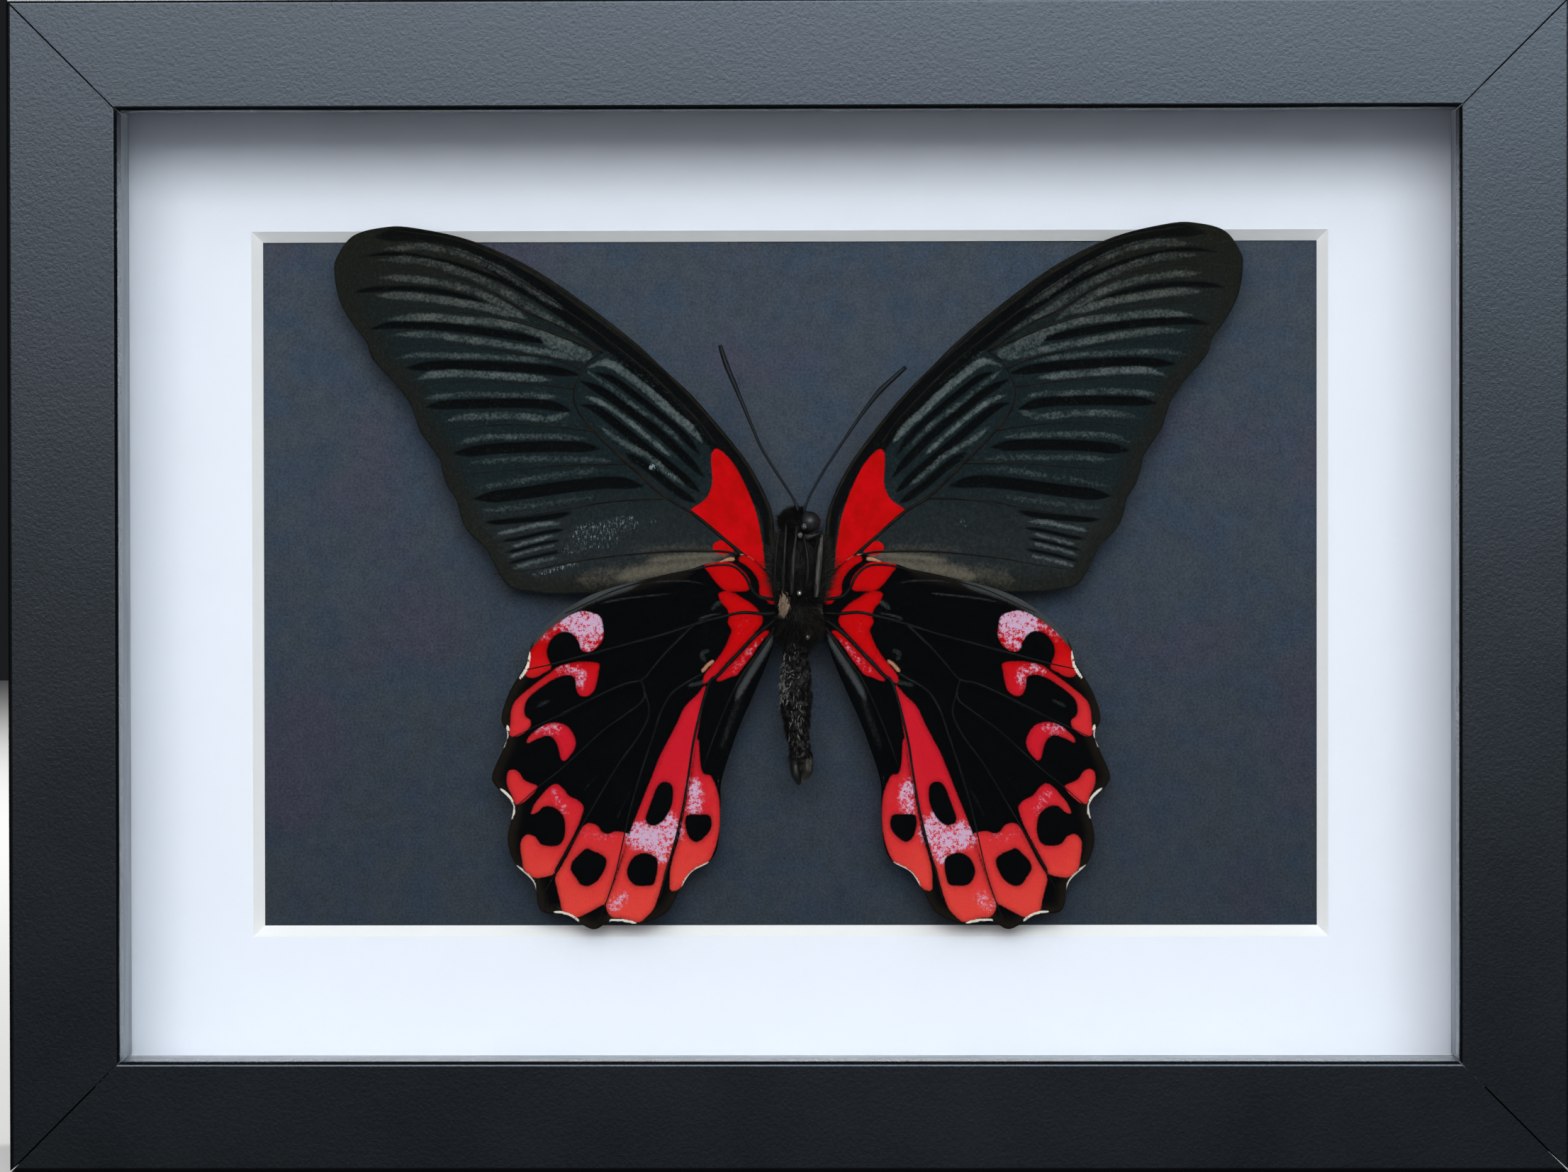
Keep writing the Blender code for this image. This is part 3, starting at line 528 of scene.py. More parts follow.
def curve_through(points, closed=False, steps=6):
    """Places along a smooth line through the given ones."""
    given = np.array(points, float)
    if closed:
        given = np.vstack([given[-1], given, given[:2]])
    else:
        given = np.vstack([2 * given[0] - given[1], given, 2 * given[-1] - given[-2]])
    part = np.linspace(0, 1, steps, endpoint=False)[:, None]
    bends = []
    for before, start, end, after in zip(given, given[1:], given[2:], given[3:]):
        bend = 2 * start + (end - before) * part
        bend = bend + (2 * before - 5 * start + 4 * end - after) * part**2
        bends.append(0.5 * (bend + (3 * start - before - 3 * end + after) * part**3))
    line = np.vstack(bends)
    return line if closed else np.vstack([line, given[-2]])


def close_to(places, line, reach):
    """Which places lie within reach of the line's box."""
    low, high = line.min(0) - reach, line.max(0) + reach
    return np.flatnonzero(((places > low) & (places < high)).all(1))


def nearest(places, line):
    """The line's nearest point to each place, its distance, and its share of the way along the line."""
    start, run = line[:-1], np.diff(line, axis=0)
    length = np.hypot(*run.T)
    offset = places[:, None] - start
    share = np.clip((offset * run).sum(2) / (length**2 + 1e-12), 0, 1)
    away = np.linalg.norm(offset - share[..., None] * run, axis=2)
    best = away.argmin(1)
    each = np.arange(len(places))
    travelled = np.concatenate([[0], np.cumsum(length)])
    along = (travelled[best] + share[each, best] * length[best]) / travelled[-1]
    return start[best] + share[each, best][:, None] * run[best], away[each, best], along


def encloses(ring, places):
    """Which places lie inside the ring, by how often a level line from each to the right crosses it."""
    crossings = np.zeros(len(places), int)
    for (x1, z1), (x2, z2) in zip(ring, np.roll(ring, -1, 0)):
        spans = (z1 > places[:, 1]) != (z2 > places[:, 1])
        side = x1 + (places[:, 1] - z1) * (x2 - x1) / (z2 - z1 + 1e-12)
        crossings += spans & (places[:, 0] < side)
    return crossings % 2 == 1


def depth_inside(places, outline, reach=1.2):
    """How far each place lies inside a smooth closed outline; negative outside it, and -reach far outside."""
    ring = curve_through(outline, closed=True)
    depth = np.full(len(places), -reach)
    chosen = close_to(places, ring, reach)
    away = nearest(places[chosen], np.vstack([ring, ring[:1]]))[1]
    depth[chosen] = np.where(encloses(ring, places[chosen]), away, -away)
    return np.maximum(depth, -reach)


def in_any(places, outlines):
    return np.max([depth_inside(places, outline) for outline in outlines], axis=0)


def smooth_step(value, low, high):
    share = np.clip((value - low) / (high - low), 0, 1)
    return share * share * (3 - 2 * share)


def strokes(places, marks, soft=0.22, taper=0.16):
    """Strength of the strongest stroke over each place. Each one narrows to both ends, or has round ends
    where taper is 0."""
    strength = np.zeros(len(places))
    for power, half_width, path in marks:
        line = curve_through(path)
        chosen = close_to(places, line, half_width + soft)
        away, along = nearest(places[chosen], line)[1:]
        width = half_width
        if taper:
            width = half_width * np.sqrt(smooth_step(along, 0, taper) * smooth_step(1 - along, 0, taper))
        over = power * smooth_step(width - away, -soft, soft) * np.sign(width)
        strength[chosen] = np.maximum(strength[chosen], over)
    return strength


def select_where(mesh, chosen):
    """Selects these vertices and nothing else, ready for edit mode."""
    mesh.vertices.foreach_set("select", chosen)
    mesh.edges.foreach_set("select", np.zeros(len(mesh.edges), bool))
    mesh.polygons.foreach_set("select", np.zeros(len(mesh.polygons), bool))


def edit_mesh(*steps):
    """Runs operators in edit mode, in vertex mode, on what is selected."""
    bpy.ops.object.mode_set(mode="EDIT")
    bpy.context.tool_settings.mesh_select_mode = (True, False, False)
    for step in steps:
        step()
    bpy.ops.object.mode_set(mode="OBJECT")


def places_of(mesh):
    points = np.empty(len(mesh.vertices) * 3, np.float32)
    mesh.vertices.foreach_get("co", points)
    return points.reshape(-1, 3).astype(float)


def move_to(mesh, points):
    mesh.vertices.foreach_set("co", points.astype(np.float32).ravel())
    mesh.update()


def number_on(mesh, name, values):
    mesh.attributes.new(name, "FLOAT", "POINT").data.foreach_set("value", values.astype(np.float32))


def membrane(name, outline):
    """A fine upright grid trimmed to the outline, in millimetres, with its edge drawn onto the outline."""
    ring = curve_through(outline, closed=True)
    rim = np.vstack([ring, ring[:1]])
    low, high = ring.min(0) - CELL, ring.max(0) + CELL
    width, height = high - low
    bpy.ops.object.select_all(action="DESELECT")
    columns, rows = round(width / CELL), round(height / CELL)
    bpy.ops.mesh.primitive_grid_add(
        x_subdivisions=columns, y_subdivisions=rows, size=1, rotation=(math.pi / 2, 0, 0)
    )
    sheet = bpy.context.object
    sheet.name = name
    sheet.dimensions = (width, height, 0)
    sheet.location = ((low[0] + high[0]) / 2, 0, (low[1] + high[1]) / 2)
    bpy.ops.object.transform_apply(location=True, rotation=True, scale=True)
    places = places_of(sheet.data)[:, [0, 2]]
    beyond = (nearest(places, rim)[1] > 0.45 * CELL) & ~encloses(ring, places)
    select_where(sheet.data, beyond)
    edit_mesh(
        lambda: bpy.ops.mesh.delete(type="VERT"),
        lambda: bpy.ops.mesh.select_all(action="DESELECT"),
        lambda: bpy.ops.mesh.select_non_manifold(),
    )
    edge = np.zeros(len(sheet.data.vertices), bool)
    sheet.data.vertices.foreach_get("select", edge)
    points = places_of(sheet.data)
    points[edge] = np.insert(nearest(points[edge][:, [0, 2]], rim)[0], 1, 0, axis=1)
    move_to(sheet.data, points)
    return sheet


def apply_modifier(piece, kind, **settings):
    bpy.ops.object.select_all(action="DESELECT")
    piece.select_set(True)
    bpy.context.view_layer.objects.active = piece
    modifier = piece.modifiers.new(kind.title(), kind)
    for setting, value in settings.items():
        setattr(modifier, setting, value)
    bpy.ops.object.modifier_apply(modifier=modifier.name)


def tube(name, path, radii, sides=3, steps=4):
    """A round tapering rod along a smooth path of points in space, as a closed mesh."""
    line = curve_through(path, steps=steps)
    share = np.linspace(0, 1, len(line))
    widths = np.interp(share, np.linspace(0, 1, len(radii)), radii)
    curve = bpy.data.curves.new(name, "CURVE")
    curve.dimensions = "3D"
    curve.bevel_depth = 1.0
    curve.bevel_resolution = sides
    curve.use_fill_caps = True
    spline = curve.splines.new("POLY")
    spline.points.add(len(line) - 1)
    for point, place, width in zip(spline.points, line, widths):
        point.co = (*place, 1)
        point.radius = width
    made = bpy.data.objects.new(name, curve)
    bpy.context.scene.collection.objects.link(made)
    bpy.ops.object.select_all(action="DESELECT")
    made.select_set(True)
    bpy.context.view_layer.objects.active = made
    bpy.ops.object.convert(target="MESH")
    select_where(made.data, np.ones(len(made.data.vertices), bool))
    edit_mesh(
        lambda: bpy.ops.mesh.remove_doubles(threshold=1e-7),
        lambda: bpy.ops.mesh.normals_make_consistent(),
    )
    bpy.ops.object.shade_smooth()
    return made


def vein_tubes(name, veins, relief):
    """The veins as raised tubes on both faces of the membrane, joined in one object."""
    tubes = []
    for number, (base, tip, path) in enumerate(veins):
        flat = curve_through(path, steps=3)
        raised = np.insert(flat, 1, relief(flat), axis=1)
        tubes.append(tube(f"{name}_{number}", raised, (base, (base + tip) / 2, tip), sides=2, steps=2))
    return join(tubes, name)


def join(pieces, name):
    bpy.ops.object.select_all(action="DESELECT")
    for piece in pieces:
        piece.select_set(True)
    bpy.context.view_layer.objects.active = pieces[0]
    bpy.ops.object.join()
    pieces[0].name = name
    return pieces[0]


def place_wing(name, sheet, veins, depth, side, spread=1.0, droop=0.0, lift=0.0):
    """A copy of the flat wing and its veins, in its place beside the body, on either side."""
    copies = []
    for part in (sheet, veins):
        copy = part.copy()
        copy.data = part.data.copy()
        bpy.context.scene.collection.objects.link(copy)
        copies.append(copy)
    sign = 1 if side == "right" else -1
    wing = join(copies, name)
    if "worn_" + side in wing.data.attributes:
        wing.data.attributes["worn_" + side].name = "worn"
    points = places_of(wing.data)
    out, back, up = points.T
    across = INSECT_X / MM + sign * out * spread
    height = up - droop * out * spread + lift + FRAME_MIDDLE / MM
    move_to(wing.data, np.stack([across, (FRONT + depth) / MM + back, height], 1) * MM)
    if sign < 0:
        wing.data.flip_normals()
    bpy.ops.object.select_all(action="DESELECT")
    wing.select_set(True)
    bpy.context.view_layer.objects.active = wing
    bpy.ops.object.shade_smooth()
    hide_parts(name)
    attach(wing, "root")
    return wing


WING_BLACK = (0.0011, 0.0016, 0.0020, 1)
WING_GREY = (0.0066, 0.0120, 0.0142, 1)
WING_TORNUS = (0.0135, 0.0170, 0.0188, 1)
WING_BROWN = (0.0092, 0.0094, 0.0074, 1)
DUST = (0.100, 0.116, 0.118, 1)
DUST_GREEN = (0.038, 0.052, 0.052, 1)
DUST_WARM = (0.090, 0.093, 0.082, 1)
SCARLET = (0.50, 0.0012, 0.0035, 1)
SCARLET_DEEP = (0.38, 0.0012, 0.0010, 1)
HIND_TAN = (0.115, 0.098, 0.076, 1)
WORN_BLUE = (0.20, 0.25, 0.27, 1)
VEIN_BROWN = (0.013, 0.0100, 0.0066, 1)
VEIN_BLACK = (0.0030, 0.0030, 0.0030, 1)


def scale_rows(finish, place):
    """Fine relief of shingled scales, as irregular grains of about a fifth of a millimetre."""
    return finish.noise(place, 5200, 2.0, 0.65)


def forewing_finish():
    finish = Finish("forewing_scales", Specular_IOR_Level=0.03)
    place = finish.place()
    grains = scale_rows(finish, place)
    specks = finish.noise(place, 2700, 3.0, 0.8)
    bars = finish.noise(finish.stretched(place, (4200, 1, 1500)), 1.0, 3.0, 0.8)
    drifts = finish.noise(place, 420, 3.0, 0.6)
    dust, black = finish.attribute("dust"), finish.attribute("black")
    red, tan = finish.attribute("red"), finish.attribute("tan")
    margin, worn = finish.attribute("margin"), finish.attribute("worn")
    edge_zone = finish.step(margin + (drifts - 0.5) * 2.0, 3.6, 0.8)
    up = finish.node("ShaderNodeSeparateXYZ", None, [place], "Z") / MM
    base = finish.mix(finish.step(up + (drifts - 0.5) * 8, 91.0, 80.0), WING_GREY, WING_TORNUS)
    base = finish.mix(finish.step(up + (drifts - 0.5) * 8, 104.0, 121.0), base, WING_BROWN)
    base = finish.mix(edge_zone * 0.85, base, WING_BROWN)
    base = finish.tint(1.0, base, finish.grey(specks * 2.0))
    base = finish.mix(finish.step(black + (specks - 0.5) * 0.8, 0.05, 0.75), base, WING_BLACK)
    powder = finish.step(dust * 0.85 + (specks - 0.5) * 1.45 + (drifts - 0.5) * 0.8, 0.10, 1.15)
    dusted = finish.mix(finish.step(up + (drifts - 0.5) * 8, 102.0, 116.0), DUST, DUST_WARM)
    base = finish.mix(powder, base, finish.mix(powder, DUST_GREEN, dusted))
    base = finish.mix(finish.step(worn * 0.70 + (bars - 0.5) * 2.4, 0.50, 0.85), base, WORN_BLUE)
    base = finish.mix(finish.step(tan * 0.9 + (specks - 0.5) * 0.9, 0.0, 1.0), base, HIND_TAN)
    scarlet = finish.mix(finish.step(drifts, 0.35, 0.65), SCARLET_DEEP, SCARLET)
    scarlet = finish.tint(1.0, scarlet, finish.grey(0.80 + grains * 0.4))
    colour = finish.mix(finish.step(red + (specks - 0.5) * 0.22, -0.10, 0.12), base, scarlet)
    return finish.surface(colour, 0.75 + specks * 0.2, grains, (0.6, 0.00007))


def vein_finish(name, brown):
    finish = Finish(name, Specular_IOR_Level=0.06)
    place = finish.place()
    drifts = finish.noise(place, 700, 3.0, 0.6)
    colour = finish.mix(finish.step(drifts, 0.35, 0.7), VEIN_BLACK, brown)
    return finish.surface(colour, 0.45 + drifts * 0.2, drifts, (0.3, 0.00005))


def forewing_relief(flat, black, dust):
    """How far back each place of the wing lies: grooves at the stripes, and a light bow towards the tip."""
    out, up = flat.T
    bow = TIP_BOW * (out / FOREWING_REACH) ** 2 * np.sin(up / 16)
    return GROOVE_DEPTH * black - STREAK_RISE * dust + bow


def forewing_front(line):
    """Where a forewing's vein lies: on the wing's relief, a little proud of it."""
    relief = forewing_relief(line, strokes(line, FOREWING_STRIPES), strokes(line, FOREWING_STREAKS))
    return relief - VEIN_PROUD


flat_forewing = membrane("flat_forewing", FOREWING_EDGE)
flat = places_of(flat_forewing.data)[:, [0, 2]]
black = strokes(flat, FOREWING_STRIPES)
dust = strokes(flat, FOREWING_STREAKS)
number_on(flat_forewing.data, "black", black)
number_on(flat_forewing.data, "dust", dust)
number_on(flat_forewing.data, "red", in_any(flat, FOREWING_RED))
number_on(flat_forewing.data, "tan", strokes(flat, FOREWING_TAN, soft=0.9))
margin = depth_inside(flat, FOREWING_EDGE, MARGIN_REACH)
number_on(flat_forewing.data, "margin", np.clip(margin, 0, MARGIN_REACH))
for side, marks in FOREWING_WORN.items():
    number_on(flat_forewing.data, "worn_" + side, strokes(flat, marks, soft=0.5))
move_to(flat_forewing.data, np.insert(flat, 1, forewing_relief(flat, black, dust), axis=1))
forewing_veins = vein_tubes("forewing_veins", FOREWING_VEINS, forewing_front)
flat_forewing.data.materials.append(forewing_finish())
forewing_veins.data.materials.append(vein_finish("forewing_vein", VEIN_BROWN))
apply_modifier(flat_forewing, "SOLIDIFY", thickness=WING_THICK / MM, offset=0)
for side, pose in FOREWING_POSES.items():
    forewing = place_wing("forewing_" + side, flat_forewing, forewing_veins, FOREWING_AT, side, *pose)
bpy.data.objects.remove(flat_forewing)
bpy.data.objects.remove(forewing_veins)


# ---------------------------------------------------------------------------
# Hindwings: the same membrane, scalloped and velvet black, lying over the forewings' hind edges. Each space
# between two veins ends in a scarlet mark round a black spot, dusted lilac on its inner side, and each notch
# of the edge has a thin white crescent.

HINDWING_AT = 0.01715
VALLEY_DEPTH = 0.16
INNER_CURL = 0.45

HINDWING_EDGE = [
    (3.3, -6.8), (3.1, -4.6), (2.9, -3.2), (3.0, -1.5), (3.4, -0.2), (4.3, 1.3), (5.6, 2.8), (6.8, 3.7),
    (8.0, 4.0), (9.3, 3.6), (11.0, 2.9), (12.7, 2.6), (14.5, 2.0), (17.8, 1.3), (24.5, -0.3), (28.5, -1.8),
    (32.2, -4.2), (35.2, -7.3), (36.2, -10.3), (38.5, -14.3), (39.5, -17.7), (38.7, -19.7), (39.3, -21.7),
    (40.7, -25.0), (40.3, -26.5), (38.2, -28.7), (38.0, -30.0), (38.7, -33.5), (37.8, -36.7), (35.3, -39.3),
    (34.7, -42.3), (33.8, -43.3), (30.8, -43.7), (27.5, -45.5), (25.0, -44.4), (21.5, -44.8), (17.8, -43.3),
    (16.2, -40.7), (14.5, -38.0), (12.0, -36.5), (10.9, -34.0), (10.6, -29.0), (10.5, -26.0), (9.3, -22.0),
    (7.8, -18.0), (6.0, -14.0), (4.3, -10.0),
]

# The scarlet marks round the edge and at the base, as closed outlines.
HINDWING_RED = [
    [
        (26.1, -5.5), (26.4, -4.3), (27.3, -3.8), (28.7, -3.5), (30.1, -3.9), (31.3, -4.6), (32.5, -5.4),
        (33.7, -6.4), (34.7, -7.5), (35.5, -8.5), (35.9, -9.3), (36.0, -10.5), (36.4, -11.6), (35.9, -12.2),
        (34.9, -12.2), (34.0, -11.7), (33.0, -11.1), (33.0, -10.5), (33.4, -9.6), (33.5, -8.6),
        (33.1, -7.5), (32.3, -6.6), (31.3, -6.2), (30.4, -6.3), (29.7, -6.9), (29.2, -7.7), (28.9, -8.6),
        (28.1, -8.9), (27.1, -8.5), (26.3, -7.6), (26.0, -6.6),
    ],
    [
        (26.6, -10.5), (28.0, -10.2), (30.0, -10.3), (31.9, -10.8), (33.1, -11.7), (34.5, -12.7),
        (35.9, -13.8), (37.0, -14.7), (37.8, -15.6), (38.2, -16.8), (38.3, -18.2), (38.4, -19.8),
        (37.5, -20.0), (36.5, -19.5), (35.7, -18.7), (35.7, -17.9), (36.3, -17.4), (36.5, -16.5),
        (36.2, -15.3), (35.4, -14.4), (34.1, -13.4), (32.7, -12.5), (31.4, -12.0), (30.2, -12.0),
        (29.7, -12.6), (29.6, -13.7), (29.1, -14.6), (28.2, -14.7), (27.3, -14.0), (26.9, -12.8),
        (26.7, -11.6),
    ],
    [
        (29.7, -20.8), (30.0, -19.8), (30.6, -18.9), (31.4, -18.4), (32.5, -18.2), (33.5, -18.4),
        (34.5, -18.9), (35.4, -19.6), (36.0, -20.3), (36.1, -20.9), (35.4, -20.6), (34.5, -20.2),
        (33.5, -19.9), (32.7, -20.2), (32.2, -20.9), (31.9, -21.8), (31.6, -23.0), (31.1, -23.2),
        (30.5, -22.6), (29.9, -21.7),
    ],
    [
        (34.8, -26.6), (35.7, -26.2), (36.6, -25.7), (37.2, -24.8), (37.9, -24.4), (38.6, -24.7),
        (38.8, -25.8), (38.6, -26.8), (38.1, -27.8), (37.7, -28.9), (36.8, -28.8), (35.9, -28.1),
        (35.2, -27.4),
    ],
    [
        (28.7, -29.4), (29.4, -28.5), (30.6, -27.9), (31.4, -26.9), (32.3, -26.3), (33.3, -26.8),
        (34.2, -27.8), (35.0, -28.8), (35.6, -30.2), (34.8, -30.0), (34.0, -29.3), (33.1, -29.2),
        (32.2, -29.6), (31.4, -30.4), (31.1, -31.5), (31.1, -32.8), (31.5, -34.0), (32.3, -34.5),
        (33.5, -34.5), (34.4, -34.2), (35.1, -33.3), (36.1, -33.0), (36.8, -33.6), (37.0, -34.6),
        (36.8, -36.2), (36.5, -37.6), (35.4, -38.6), (34.1, -38.6), (32.7, -38.2), (32.4, -37.4),
        (31.5, -35.8), (30.4, -33.8), (29.5, -32.0), (29.0, -30.7),
    ],
    [
        (22.8, -33.0), (23.5, -32.7), (24.5, -32.6), (25.5, -32.9), (26.3, -32.6), (26.9, -31.8),
        (27.9, -31.5), (28.7, -31.9), (29.5, -33.2), (30.5, -35.2), (31.5, -37.0), (32.4, -38.6),
        (32.2, -40.0), (31.8, -41.6), (31.4, -43.2), (30.1, -43.9), (29.2, -43.8), (27.8, -43.1),
        (26.5, -42.4), (25.8, -41.9), (25.1, -40.0), (24.4, -38.0), (23.7, -36.0), (23.0, -34.3),
    ],
    [
        (12.5, -13.4), (13.7, -14.6), (15.3, -16.2), (16.3, -18.3), (17.5, -20.6), (18.5, -22.5),
        (19.5, -25.0), (20.5, -27.5), (21.5, -30.0), (22.3, -32.0), (22.8, -33.6), (23.5, -36.0),
        (24.3, -38.4), (25.1, -40.6), (25.7, -42.2), (25.5, -43.2), (24.8, -43.9), (23.7, -44.0),
        (22.3, -44.4), (21.3, -44.5), (20.4, -43.8), (19.5, -42.8), (18.9, -41.3), (18.4, -39.6),
        (17.9, -37.6), (17.2, -35.6), (16.5, -33.4), (15.9, -31.0), (15.4, -28.5), (14.7, -25.8),
        (14.1, -22.5), (13.6, -19.5), (13.1, -16.5),
    ],
    [
        (13.5, -20.5), (13.4, -22.0), (13.2, -24.0), (12.8, -25.0), (12.0, -25.2), (11.4, -26.2),
        (10.9, -27.8), (10.7, -29.5), (10.7, -31.5), (11.0, -33.5), (11.5, -35.2), (12.1, -36.4),
        (12.9, -37.1), (14.0, -37.7), (14.8, -38.6), (15.5, -39.6), (16.4, -40.3), (17.2, -40.3),
        (17.3, -39.2), (17.2, -37.5), (16.8, -35.8), (16.1, -33.5), (15.6, -31.0), (15.1, -28.5),
        (14.5, -25.5), (14.0, -22.5), (13.8, -20.8),
    ],
    [
        (3.2, -2.4), (3.0, -1.2), (3.5, 0.0), (4.5, 1.5), (5.7, 2.8), (6.8, 3.7), (7.9, 3.7), (8.1, 3.1),
        (7.3, 2.6), (6.3, 1.7), (5.6, 0.6), (5.4, -0.4), (5.4, -1.2), (4.7, -1.9), (3.9, -2.6),
    ],
    [
        (6.6, 0.0), (7.1, 1.2), (8.0, 2.1), (9.1, 2.8), (10.5, 3.0), (11.8, 2.9), (12.7, 2.4), (12.1, 1.6),
        (11.4, 0.6), (10.5, -0.4), (9.5, -0.9), (8.1, -0.9), (7.0, -0.8),
    ],
    [
        (8.5, -1.3), (9.8, -0.9), (10.8, -1.3), (10.4, -2.4), (9.7, -3.2), (9.4, -4.2), (9.6, -5.0),
        (9.1, -6.0), (9.4, -7.0), (9.9, -8.2), (10.8, -9.6), (11.8, -10.8), (12.7, -12.0), (12.8, -13.0),
        (11.9, -12.6), (10.7, -11.4), (9.5, -10.0), (8.3, -8.9), (7.1, -7.6), (5.9, -6.2), (5.1, -5.2),
        (5.1, -4.2), (5.8, -3.2), (6.7, -2.4), (7.7, -1.8),
    ],
    [
        (4.1, -6.2), (5.1, -6.2), (6.1, -7.2), (7.3, -8.5), (8.7, -10.0), (10.0, -11.3), (11.1, -12.6),
        (10.5, -12.7), (9.3, -12.2), (8.4, -11.9), (7.5, -10.8), (6.5, -9.5), (5.5, -8.0), (4.7, -7.0),
    ],
]

# Black spots inside the marks.
HINDWING_SPOTS = [
    [
        (28.3, -34.8), (29.3, -35.6), (30.2, -36.6), (30.4, -37.6), (29.8, -38.6), (29.1, -39.6),
        (28.1, -39.8), (27.1, -39.3), (26.4, -38.5), (25.8, -37.3), (25.7, -36.2), (26.5, -35.5),
        (27.5, -35.1),
    ],
    [
        (16.9, -26.8), (17.5, -26.1), (18.4, -26.1), (19.1, -26.9), (19.6, -28.2), (20.1, -29.5),
        (20.5, -30.8), (20.2, -31.6), (19.2, -31.8), (18.2, -31.2), (17.4, -30.0), (16.9, -28.6),
    ],
    [
        (19.0, -36.2), (19.8, -35.6), (20.9, -35.4), (21.9, -35.8), (22.6, -36.6), (23.0, -37.8),
        (22.7, -38.9), (21.9, -39.7), (20.7, -39.8), (19.5, -39.6), (19.1, -38.6), (18.9, -37.4),
    ],
    [
        (11.8, -31.0), (12.2, -30.4), (13.5, -30.3), (15.0, -30.4), (15.3, -31.3), (15.1, -32.6),
        (14.6, -33.6), (13.8, -34.0), (13.0, -33.6), (12.2, -32.8), (11.8, -32.0),
    ],
]

# Lilac dusting on the marks: strength, half width and places.
HINDWING_LILAC = [
    (1.0, 1.9, [(27.0, -5.0), (28.3, -5.3), (29.6, -5.0)]),
    (0.75, 0.9, [(27.6, -7.2), (28.3, -8.0)]),
    (0.45, 0.7, [(30.5, -5.0), (32.5, -5.8), (34.0, -7.0)]),
    (0.70, 0.45, [(29.1, -13.2), (28.9, -11.9), (30.2, -11.2), (31.6, -11.3)]),
    (0.50, 0.8, [(32.4, -19.0), (34.4, -19.0)]),
    (0.42, 0.7, [(32.0, -28.3), (31.2, -29.6), (32.4, -27.6)]),
    (0.30, 0.8, [(25.0, -33.4), (27.4, -33.3), (28.6, -32.6)]),
    (0.95, 1.7, [(17.4, -32.6), (19.3, -33.6), (21.3, -33.2)]),
    (0.80, 0.9, [(17.3, -31.0), (17.9, -34.0), (18.6, -36.0)]),
    (0.60, 0.8, [(23.7, -41.4), (24.7, -42.4)]),
    (0.85, 0.8, [(14.1, -26.6), (13.9, -28.4), (14.2, -29.6)]),
    (0.42, 0.5, [(5.4, -7.6), (7.0, -9.2), (8.8, -11.2)]),
    (0.22, 0.8, [(6.8, -4.4), (8.2, -6.0)]),
]

# White crescents in the notches of the edge.
HINDWING_LUNULES = [
    (1.0, 0.15, [(35.8, -8.7), (35.9, -10.3), (36.2, -11.2), (37.1, -12.5)]),
    (1.0, 0.15, [(38.8, -18.4), (38.6, -19.2), (39.0, -20.5), (39.4, -21.7)]),
    (1.0, 0.15, [(39.9, -26.8), (38.8, -27.6), (38.1, -28.6), (37.9, -29.9), (38.2, -31.1)]),
    (1.0, 0.15, [(37.7, -37.0), (36.5, -37.9), (35.6, -38.8), (35.0, -40.3)]),
    (1.0, 0.15, [(32.7, -43.2), (31.5, -43.3), (30.3, -43.7), (29.1, -44.6)]),
    (1.0, 0.15, [(25.6, -44.4), (24.2, -44.3), (23.0, -44.4), (21.7, -44.7)]),
    (1.0, 0.15, [(12.1, -36.6), (13.3, -37.3), (14.3, -38.0), (15.1, -38.9), (15.7, -39.9)]),
    (0.3, 0.13, [(10.9, -25.0), (10.8, -27.0)]),
]

# Pale dust along the veins and folds, and worn places.
HINDWING_DUST = [
    (0.75, 0.10, [
        (10.3, -4.2), (12.3, -4.7), (14.0, -5.2), (18.5, -6.7), (22.5, -7.7), (26.5, -8.9), (28.5, -9.5),
    ]),
    (0.60, 0.09, [
        (15.5, -7.0), (17.5, -8.8), (19.5, -11.0), (21.0, -12.7), (24.5, -13.6), (29.5, -16.2),
        (35.0, -18.9),
    ]),
    (0.55, 0.09, [(21.0, -15.5), (23.5, -17.4), (26.5, -19.8), (28.5, -21.5), (31.5, -24.4)]),
    (0.55, 0.09, [(20.0, -17.0), (21.5, -20.2), (24.0, -23.8), (26.2, -27.2)]),
    (0.55, 0.09, [(18.3, -16.7), (19.5, -20.2), (21.0, -24.7), (22.3, -29.2), (22.8, -31.5)]),
    (0.85, 0.14, [(10.2, -3.8), (12.0, -4.1), (13.6, -4.6)]),
    (0.75, 0.12, [(12.5, 0.0), (14.5, 0.4), (17.0, 0.5), (20.0, 0.2)]),
    (0.80, 0.14, [(17.0, -1.2), (20.0, -1.5), (23.5, -1.9), (26.5, -2.5)]),
    (0.70, 0.10, [(26.8, -25.0), (27.9, -26.3), (28.8, -27.5)]),
    (0.70, 0.10, [(22.3, -27.0), (23.4, -29.0), (24.3, -31.0)]),
    (0.60, 0.40, [(10.4, -2.2), (11.2, -2.8), (11.8, -3.4)]),
    (0.55, 0.40, [(12.0, -8.6), (13.0, -9.2), (12.6, -10.2)]),
    (0.55, 0.35, [(11.6, -12.6), (15.0, -13.4)]),
    (0.50, 0.28, [(33.0, -15.2), (35.0, -16.2)]),
]

# Bare grey strips: along the front edge, and beside the body.
HINDWING_GREY = [
    (0.95, 0.62, [(20.5, 0.5), (24.5, -0.7), (28.5, -2.2), (32.0, -4.4), (34.4, -7.0), (35.4, -9.6)]),
    (1.0, 0.42, [(3.6, -6.4), (4.6, -8.4), (6.0, -10.8), (7.6, -13.4), (8.6, -15.4)]),
    (0.35, 0.50, [(7.6, -13.6), (9.2, -18.0), (10.6, -22.0)]),
]
